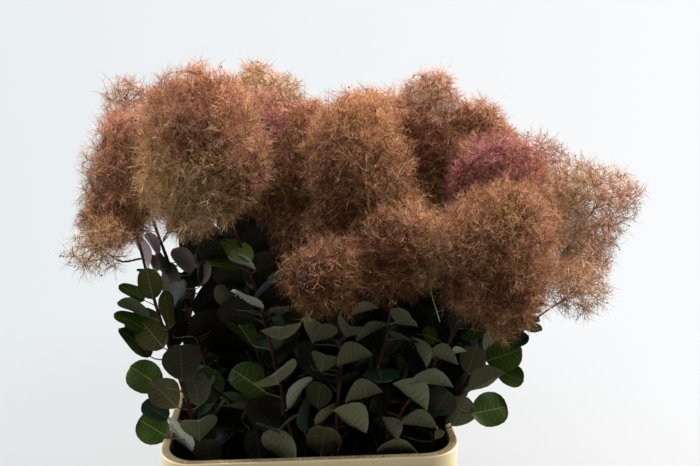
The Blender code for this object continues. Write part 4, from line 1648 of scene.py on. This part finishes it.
def along(lines, row, share):
    """Points at a share of the length of chosen polylines."""
    steps = lines.shape[1] - 1
    whole = np.minimum((share * steps).astype(int), steps - 1)
    part = (share * steps - whole)[:, None]
    return lines[row, whole] * (1 - part) + lines[row, whole + 1] * part


def fork_to(targets, parents, stops):
    """For each target, the foot of a twig that reaches it: a near point of a parent that leans its way."""
    count = len(parents)
    rows = np.repeat(np.arange(count), len(stops))
    feet = along(parents, rows, np.tile(stops, count))
    leans = np.repeat(unit(parents[:, -1] - parents[:, 0]), len(stops), axis=0)
    least_lean, detour = 0.5, 1.2
    best = np.empty(len(targets), int)
    for row, target in enumerate(targets):
        way = target - feet
        far = np.linalg.norm(way, axis=1)
        lean = np.einsum("ij,ij->i", way, leans) / (far + 1e-9)
        best[row] = (far * (1 + detour * np.maximum(0.0, least_lean - lean))).argmin()
    return feet[best]


def tubes(name, orders, tree):
    """Tubes along lines. orders holds (lines, radii, tint); a line's points share its row."""
    verts, edges, thick, tints = [], [], [], []
    first = 0
    for lines, radii, tint in orders:
        count, points, _ = lines.shape
        verts.append(lines.reshape(-1, 3))
        base = first + np.arange(count)[:, None] * points + np.arange(points - 1)[None, :]
        edges.append(np.stack([base.ravel(), base.ravel() + 1], axis=1))
        thick.append(np.broadcast_to(radii, (count, points)).ravel())
        tints.append(np.full(count * points, tint))
        first += count * points
    verts, edges = np.concatenate(verts), np.concatenate(edges)
    mesh = bpy.data.meshes.new(name)
    mesh.vertices.add(len(verts))
    mesh.vertices.foreach_set("co", verts.astype(np.float32).ravel())
    mesh.edges.add(len(edges))
    mesh.edges.foreach_set("vertices", edges.astype(np.int32).ravel())
    store(mesh, "thick", "FLOAT", np.concatenate(thick).astype(np.float32))
    store(mesh, "tint", "INT", np.concatenate(tints).astype(np.int32))
    return apply_tree(new_object(name, mesh), tree)


def grow_twigs(rng, solid, neck):
    """The main stalk of a flower head and three orders of twigs, which fill its solid evenly."""
    rise = unit(solid.centre - neck)
    spine = bent(rng, neck[None], (solid.centre + rise * 0.012)[None], 8, SPINE_BOW)
    targets = spread_apart(solid.fill(rng, MAIN_TWIGS * 5, TWIG_ENDS[0]), MAIN_TWIGS)
    lean = np.clip(0.5 + 0.5 * unit(targets - solid.centre) @ rise, 0, 1)
    feet = along(spine, np.zeros(MAIN_TWIGS, int), 0.1 + 0.85 * lean)
    mains = bent(rng, feet, targets, 5, TWIG_BOWS[0])
    count = max(int(SIDE_TWIGS_PER_LITRE * solid.litres), FEWEST_SIDE_TWIGS)
    targets = spread_apart(solid.fill(rng, count * 3, TWIG_ENDS[1]), count)
    sides = bent(rng, fork_to(targets, mains, SIDE_FORKS), targets, 3, TWIG_BOWS[1])
    count = max(int(LAST_TWIGS_PER_LITRE * solid.litres), FEWEST_LAST_TWIGS)
    targets = spread_apart(solid.fill(rng, count * 2, TWIG_ENDS[2]), count)
    lasts = bent(rng, fork_to(targets, sides, LAST_FORKS), targets, 1, TWIG_BOWS[2])
    return spine, mains, sides, lasts


def grow_hairs(rng, solid, lasts, count, fine):
    """The last twigs that hairs grow on, and the hairs' places, directions and lengths.

    Fine hairs grow on the outer twigs and lean out, coarse ones fill the inside in all directions.
    """
    depth = np.linalg.norm(lasts[:, -1] - solid.centre, axis=1) / solid.limit(lasts[:, -1])
    odds = ease(depth, *(FINE_HAIR_ZONE if fine else COARSE_HAIR_ZONE))
    rows = rng.choice(len(lasts), size=count, p=odds / odds.sum())
    place = along(lasts, rows, rng.uniform(*HAIR_PLACES, count))
    stalk = unit(lasts[rows, -1] - lasts[rows, 0])
    outward = place - solid.centre
    inside = np.linalg.norm(outward, axis=1)
    edge = ease(inside / solid.limit(place), 0.75, 1.0)
    pull = 0.25 + 0.5 * edge if fine else np.full(count, 0.1)
    aim = unit(stalk * 0.3 + unit(outward) * pull[:, None] + random_directions(rng, count))
    length = HAIR_LENGTH * rng.uniform(*HAIR_LENGTHS, count)
    tip = place + aim * length[:, None]
    stray = np.minimum(rng.exponential(STRAY_REACH, count), FURTHEST_STRAY) if fine else 0.0
    limit = solid.limit(tip) - EDGE_INSET + stray
    far = np.linalg.norm(tip - solid.centre, axis=1)
    length *= np.clip(1 - (far - limit) / np.maximum(far - inside, 1e-4), 0.3, 1.0)
    return rows, place, aim, length


def draw_columns(rng, odds):
    """Draws a column for each row of odds."""
    drawn = (rng.uniform(size=(len(odds), 1)) > odds.cumsum(axis=1)).sum(axis=1)
    return np.minimum(drawn, odds.shape[1] - 1)


def spray_tints(rng, name, solid, lasts, view):
    """The tint of each last twig's spray and the odds it was drawn by, rosier above, and darker below and
    in patches as painted shade.
    """
    weights = np.array(PLUME_TINTS.get(name, PLUME_TINTS["usual"]))
    tints = list(HAIR_TINTS)
    tips = lasts[:, -1]
    height = np.clip((tips[:, 2] - solid.centre[2]) / solid.half[2], -1, 1)
    odds = weights * np.maximum(1 + np.array(TINT_RISE) * height[:, None], 0.05)
    odds /= odds.sum(axis=1, keepdims=True)
    u, v, away = view.pixel(tips)
    in_front = away < view.pixel(solid.centre)[2]
    for column, row, reach, tint, share in PATCHES_IN_VIEW.get(name, ()):
        near = ease(np.hypot(u - column, v - row) / reach, 1.5, 0.5) * share * in_front
        odds = odds * (1 - near[:, None])
        odds[:, tints.index(tint)] += near
    own = draw_columns(rng, odds)
    centres = solid.fill(rng, PATCHES, 0.95)
    patch = own[np.linalg.norm(tips[:, None] - centres[None], axis=2).argmin(axis=1)]
    return np.where(rng.uniform(size=len(tips)) < PATCH_SHARE, patch, own), odds


def seed_spots(rng, name, solid, hairs, shapes, aim):
    """Places and directions of a plume's seeds, on the tips of fine hairs near its outline."""
    place, length = hairs["place"], hairs["size"]
    tips = place + aim * length[:, None]
    share = np.linalg.norm(tips - solid.centre, axis=1) / solid.limit(tips)
    least, most = SEED_PLACES
    outer = np.flatnonzero((share > least) & (share < most))
    bearers = rng.choice(outer, size=SEEDS.get(name, SEEDS["usual"]), replace=False)
    ends = []
    for row in bearers:
        shape = shapes.objects[hairs["shape"][row]].data
        end = shape.vertices[-1].co * length[row]
        ends.append(Euler(hairs["turn"][row]).to_matrix() @ end)
    return place[bearers] + np.array(ends), aim[bearers]


def grow_plume(name, neck, seed, kit):
    """One flower head: a main stalk, three orders of twigs, hairs on the last of them, and seeds."""
    rng = np.random.default_rng(seed)
    solid = kit["solids"][name]
    grown = grow_twigs(rng, solid, neck)
    lasts = grown[-1]
    olive, wine = range(2)
    orders = [
        (lines, np.linspace(*radii, lines.shape[1]), tint)
        for lines, radii, tint in zip(grown, TWIG_RADII, (wine, olive, olive, wine))
    ]
    twigs = tubes("twigs_" + name, orders, kit["twig_tree"])
    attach(twigs, "root")

    spray, odds = spray_tints(rng, name, solid, lasts, kit["view"])
    dark = list(HAIR_TINTS).index("dark")
    full = FULLNESS.get(name, 1.0)
    columns = empty_columns()
    for fine, density in ((True, FINE_HAIRS_PER_LITRE), (False, COARSE_HAIRS_PER_LITRE)):
        count = int(density * solid.litres * (full if fine else full ** 2))
        rows, place, aim, length = grow_hairs(rng, solid, lasts, count, fine)
        own = draw_columns(rng, odds[rows])
        tint = np.where(rng.uniform(size=count) < SPRAY_SHARE, spray[rows], own)
        # Many inner coarse hairs take the near-black tint, as painted shade inside the plume
        if not fine:
            tint = np.where(rng.uniform(size=count) < 0.5 * full ** 3, dark, tint)
        hairs = {
            "place": place,
            "turn": turns_to(aim, rng.uniform(0, math.tau, count)),
            "size": length,
            "shape": rng.integers(HAIR_SHAPES, size=count) + (0 if fine else HAIR_SHAPES),
            "tint": tint,
        }
        for key, values in hairs.items():
            columns[key].append(values)
        if fine:
            kit["seed_rows"].append(seed_spots(rng, name, solid, hairs, kit["hairs"], aim))
    points = {key: np.concatenate(parts) for key, parts in columns.items()}
    haze = scatter("haze_" + name, points, kit["hairs"], kit["hair_tree"])
    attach(haze, "root")
    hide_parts("plume_" + name)


def make_seeds(seed_rows):
    """All the seeds, in one piece: most of them nearly black, some brown or yellow-green."""
    rng = np.random.default_rng(SEED_TINT_SEED)
    place = np.concatenate([places for places, _ in seed_rows])
    aim = np.concatenate([aims for _, aims in seed_rows])
    count = len(place)
    width = rng.uniform(*SEED_WIDTHS, count)
    shapes = as_shapes("seed_shapes", [seed_mesh(i) for i in range(SEED_SHAPES)])
    seeds = scatter(
        "seeds",
        {
            "place": place,
            "turn": turns_to(aim, rng.uniform(0, math.tau, count)),
            "size": width,
            "shape": rng.integers(SEED_SHAPES, size=count),
            "tint": rng.choice(3, size=count, p=(0.62, 0.2, 0.18)),
        },
        shapes,
        scatter_tree("seeds", seed_materials()),
    )
    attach(seeds, "root")
    drop_shapes(shapes)


def make_plumes(view, solids, necks):
    """Every plume, and then the seeds of all of them."""
    hairs = as_shapes("hair_shapes", [hair_mesh(i) for i in range(HAIR_SHAPES * 2)])
    kit = {
        "view": view,
        "solids": solids,
        "hairs": hairs,
        "hair_tree": scatter_tree("hairs", hair_materials(), parts=2),
        "twig_tree": twig_tree("twigs", twig_materials(), sides=3),
        "seed_rows": [],
    }
    for index, name in enumerate(PLUME_NAMES):
        grow_plume(name, necks[name], PLUME_SEED + index, kit)
    make_seeds(kit["seed_rows"])
    drop_shapes(hairs)


# The stage


def sky_tone(tree, way):
    """The surround's colour by direction: faintly blue on the left, near white on the right."""
    sideways = add_node(tree, "ShaderNodeSeparateXYZ", {0: way}).outputs["X"]
    return blend(tree, spread(tree, sideways, (-SKY_SPREAD, SKY_SPREAD)), SKY_LEFT, SKY_RIGHT)


def floor_material():
    """Pale paper near the tub, which glows like the surround further out."""
    material = bpy.data.materials.new("floor_paper")
    material.use_nodes = True
    tree = material.node_tree
    tree.nodes.clear()
    place = object_place(tree)
    shifted = add_node(tree, "ShaderNodeVectorMath", {0: place, 1: (0.0, 1.0, 0.0)}).outputs[0]
    way = add_node(tree, "ShaderNodeVectorMath", {0: shifted}, operation="NORMALIZE").outputs[0]
    sky = sky_tone(tree, way)
    glow = add_node(tree, "ShaderNodeEmission", {"Color": sky}).outputs[0]
    paper = add_node(tree, "ShaderNodeBsdfDiffuse", {"Color": FLOOR_COLOUR}).outputs[0]
    faint = add_node(tree, "ShaderNodeEmission", {"Color": sky, "Strength": FLOOR_GLOW}).outputs[0]
    near = add_node(tree, "ShaderNodeAddShader", {0: paper, 1: faint}).outputs[0]
    far = add_node(tree, "ShaderNodeVectorMath", {0: place}, operation="LENGTH").outputs["Value"]
    fade = spread(tree, far, FLOOR_FADE, interpolation_type="SMOOTHERSTEP")
    mixed = add_node(tree, "ShaderNodeMixShader", {"Fac": fade, 1: near, 2: glow}).outputs[0]
    add_node(tree, "ShaderNodeOutputMaterial", {"Surface": mixed})
    return material


def make_stage():
    """A pale floor that takes a soft shadow near the tub and fades into the surround further out."""
    mesh = bpy.data.meshes.new("floor")
    bm = bmesh.new()
    bmesh.ops.create_circle(bm, cap_ends=True, segments=128, radius=FLOOR_RADIUS)
    bm.to_mesh(mesh)
    bm.free()
    mesh.materials.append(floor_material())
    floor = new_object("floor", mesh)
    floor.visible_diffuse = False


def add_light(name, place, aim, size, power, colour):
    light = bpy.data.lights.new(name, "AREA")
    light.shape = "RECTANGLE"
    light.size, light.size_y = size
    light.energy = power
    light.color = colour
    obj = bpy.data.objects.new(name, light)
    obj.location = place
    obj.rotation_euler = (Vector(aim) - Vector(place)).to_track_quat("-Z", "Y").to_euler()
    obj.visible_camera = False
    bpy.context.scene.collection.objects.link(obj)


def make_lights():
    for name, (place, aim, size, power, colour) in LIGHTS.items():
        add_light(name, place, aim, size, power, colour)


def make_world():
    """A pale surround: near white to the eye, dim as a source of light."""
    world = bpy.data.worlds.new("surround")
    bpy.context.scene.world = world
    world.use_nodes = True
    tree = world.node_tree
    tree.nodes.clear()
    sight = add_node(tree, "ShaderNodeLightPath").outputs["Is Camera Ray"]
    way = add_node(tree, "ShaderNodeTexCoord").outputs["Generated"]
    seen = add_node(tree, "ShaderNodeBackground", {"Color": sky_tone(tree, way)}).outputs[0]
    dim = {"Color": SKY_LIGHT, "Strength": SKY_LIGHT_STRENGTH}
    lit = add_node(tree, "ShaderNodeBackground", dim).outputs[0]
    mixed = add_node(tree, "ShaderNodeMixShader", {"Fac": sight, 1: lit, 2: seen}).outputs[0]
    add_node(tree, "ShaderNodeOutputWorld", {"Surface": mixed})


def make_camera():
    data = bpy.data.cameras.new("camera")
    data.lens = CAMERA_LENS
    data.sensor_width = CAMERA_SENSOR
    camera = bpy.data.objects.new("camera", data)
    camera.location = CAMERA_PLACE
    camera.rotation_euler = (math.radians(90) - CAMERA_PITCH, 0, -CAMERA_HEADING)
    bpy.context.scene.collection.objects.link(camera)
    bpy.context.scene.camera = camera


def main():
    bpy.context.scene.view_settings.view_transform = "Standard"
    make_camera()
    make_world()
    make_lights()
    make_stage()
    make_container()
    stem_paths, necks = make_bark()
    view = View()
    solids = {name: Solid(name, OUTLINE_SEED + index) for index, name in enumerate(PLUME_NAMES)}
    for solid in solids.values():
        solid.meet(solids.values())
    make_foliage(view, stem_paths, solids.values())
    make_plumes(view, solids, necks)


main()
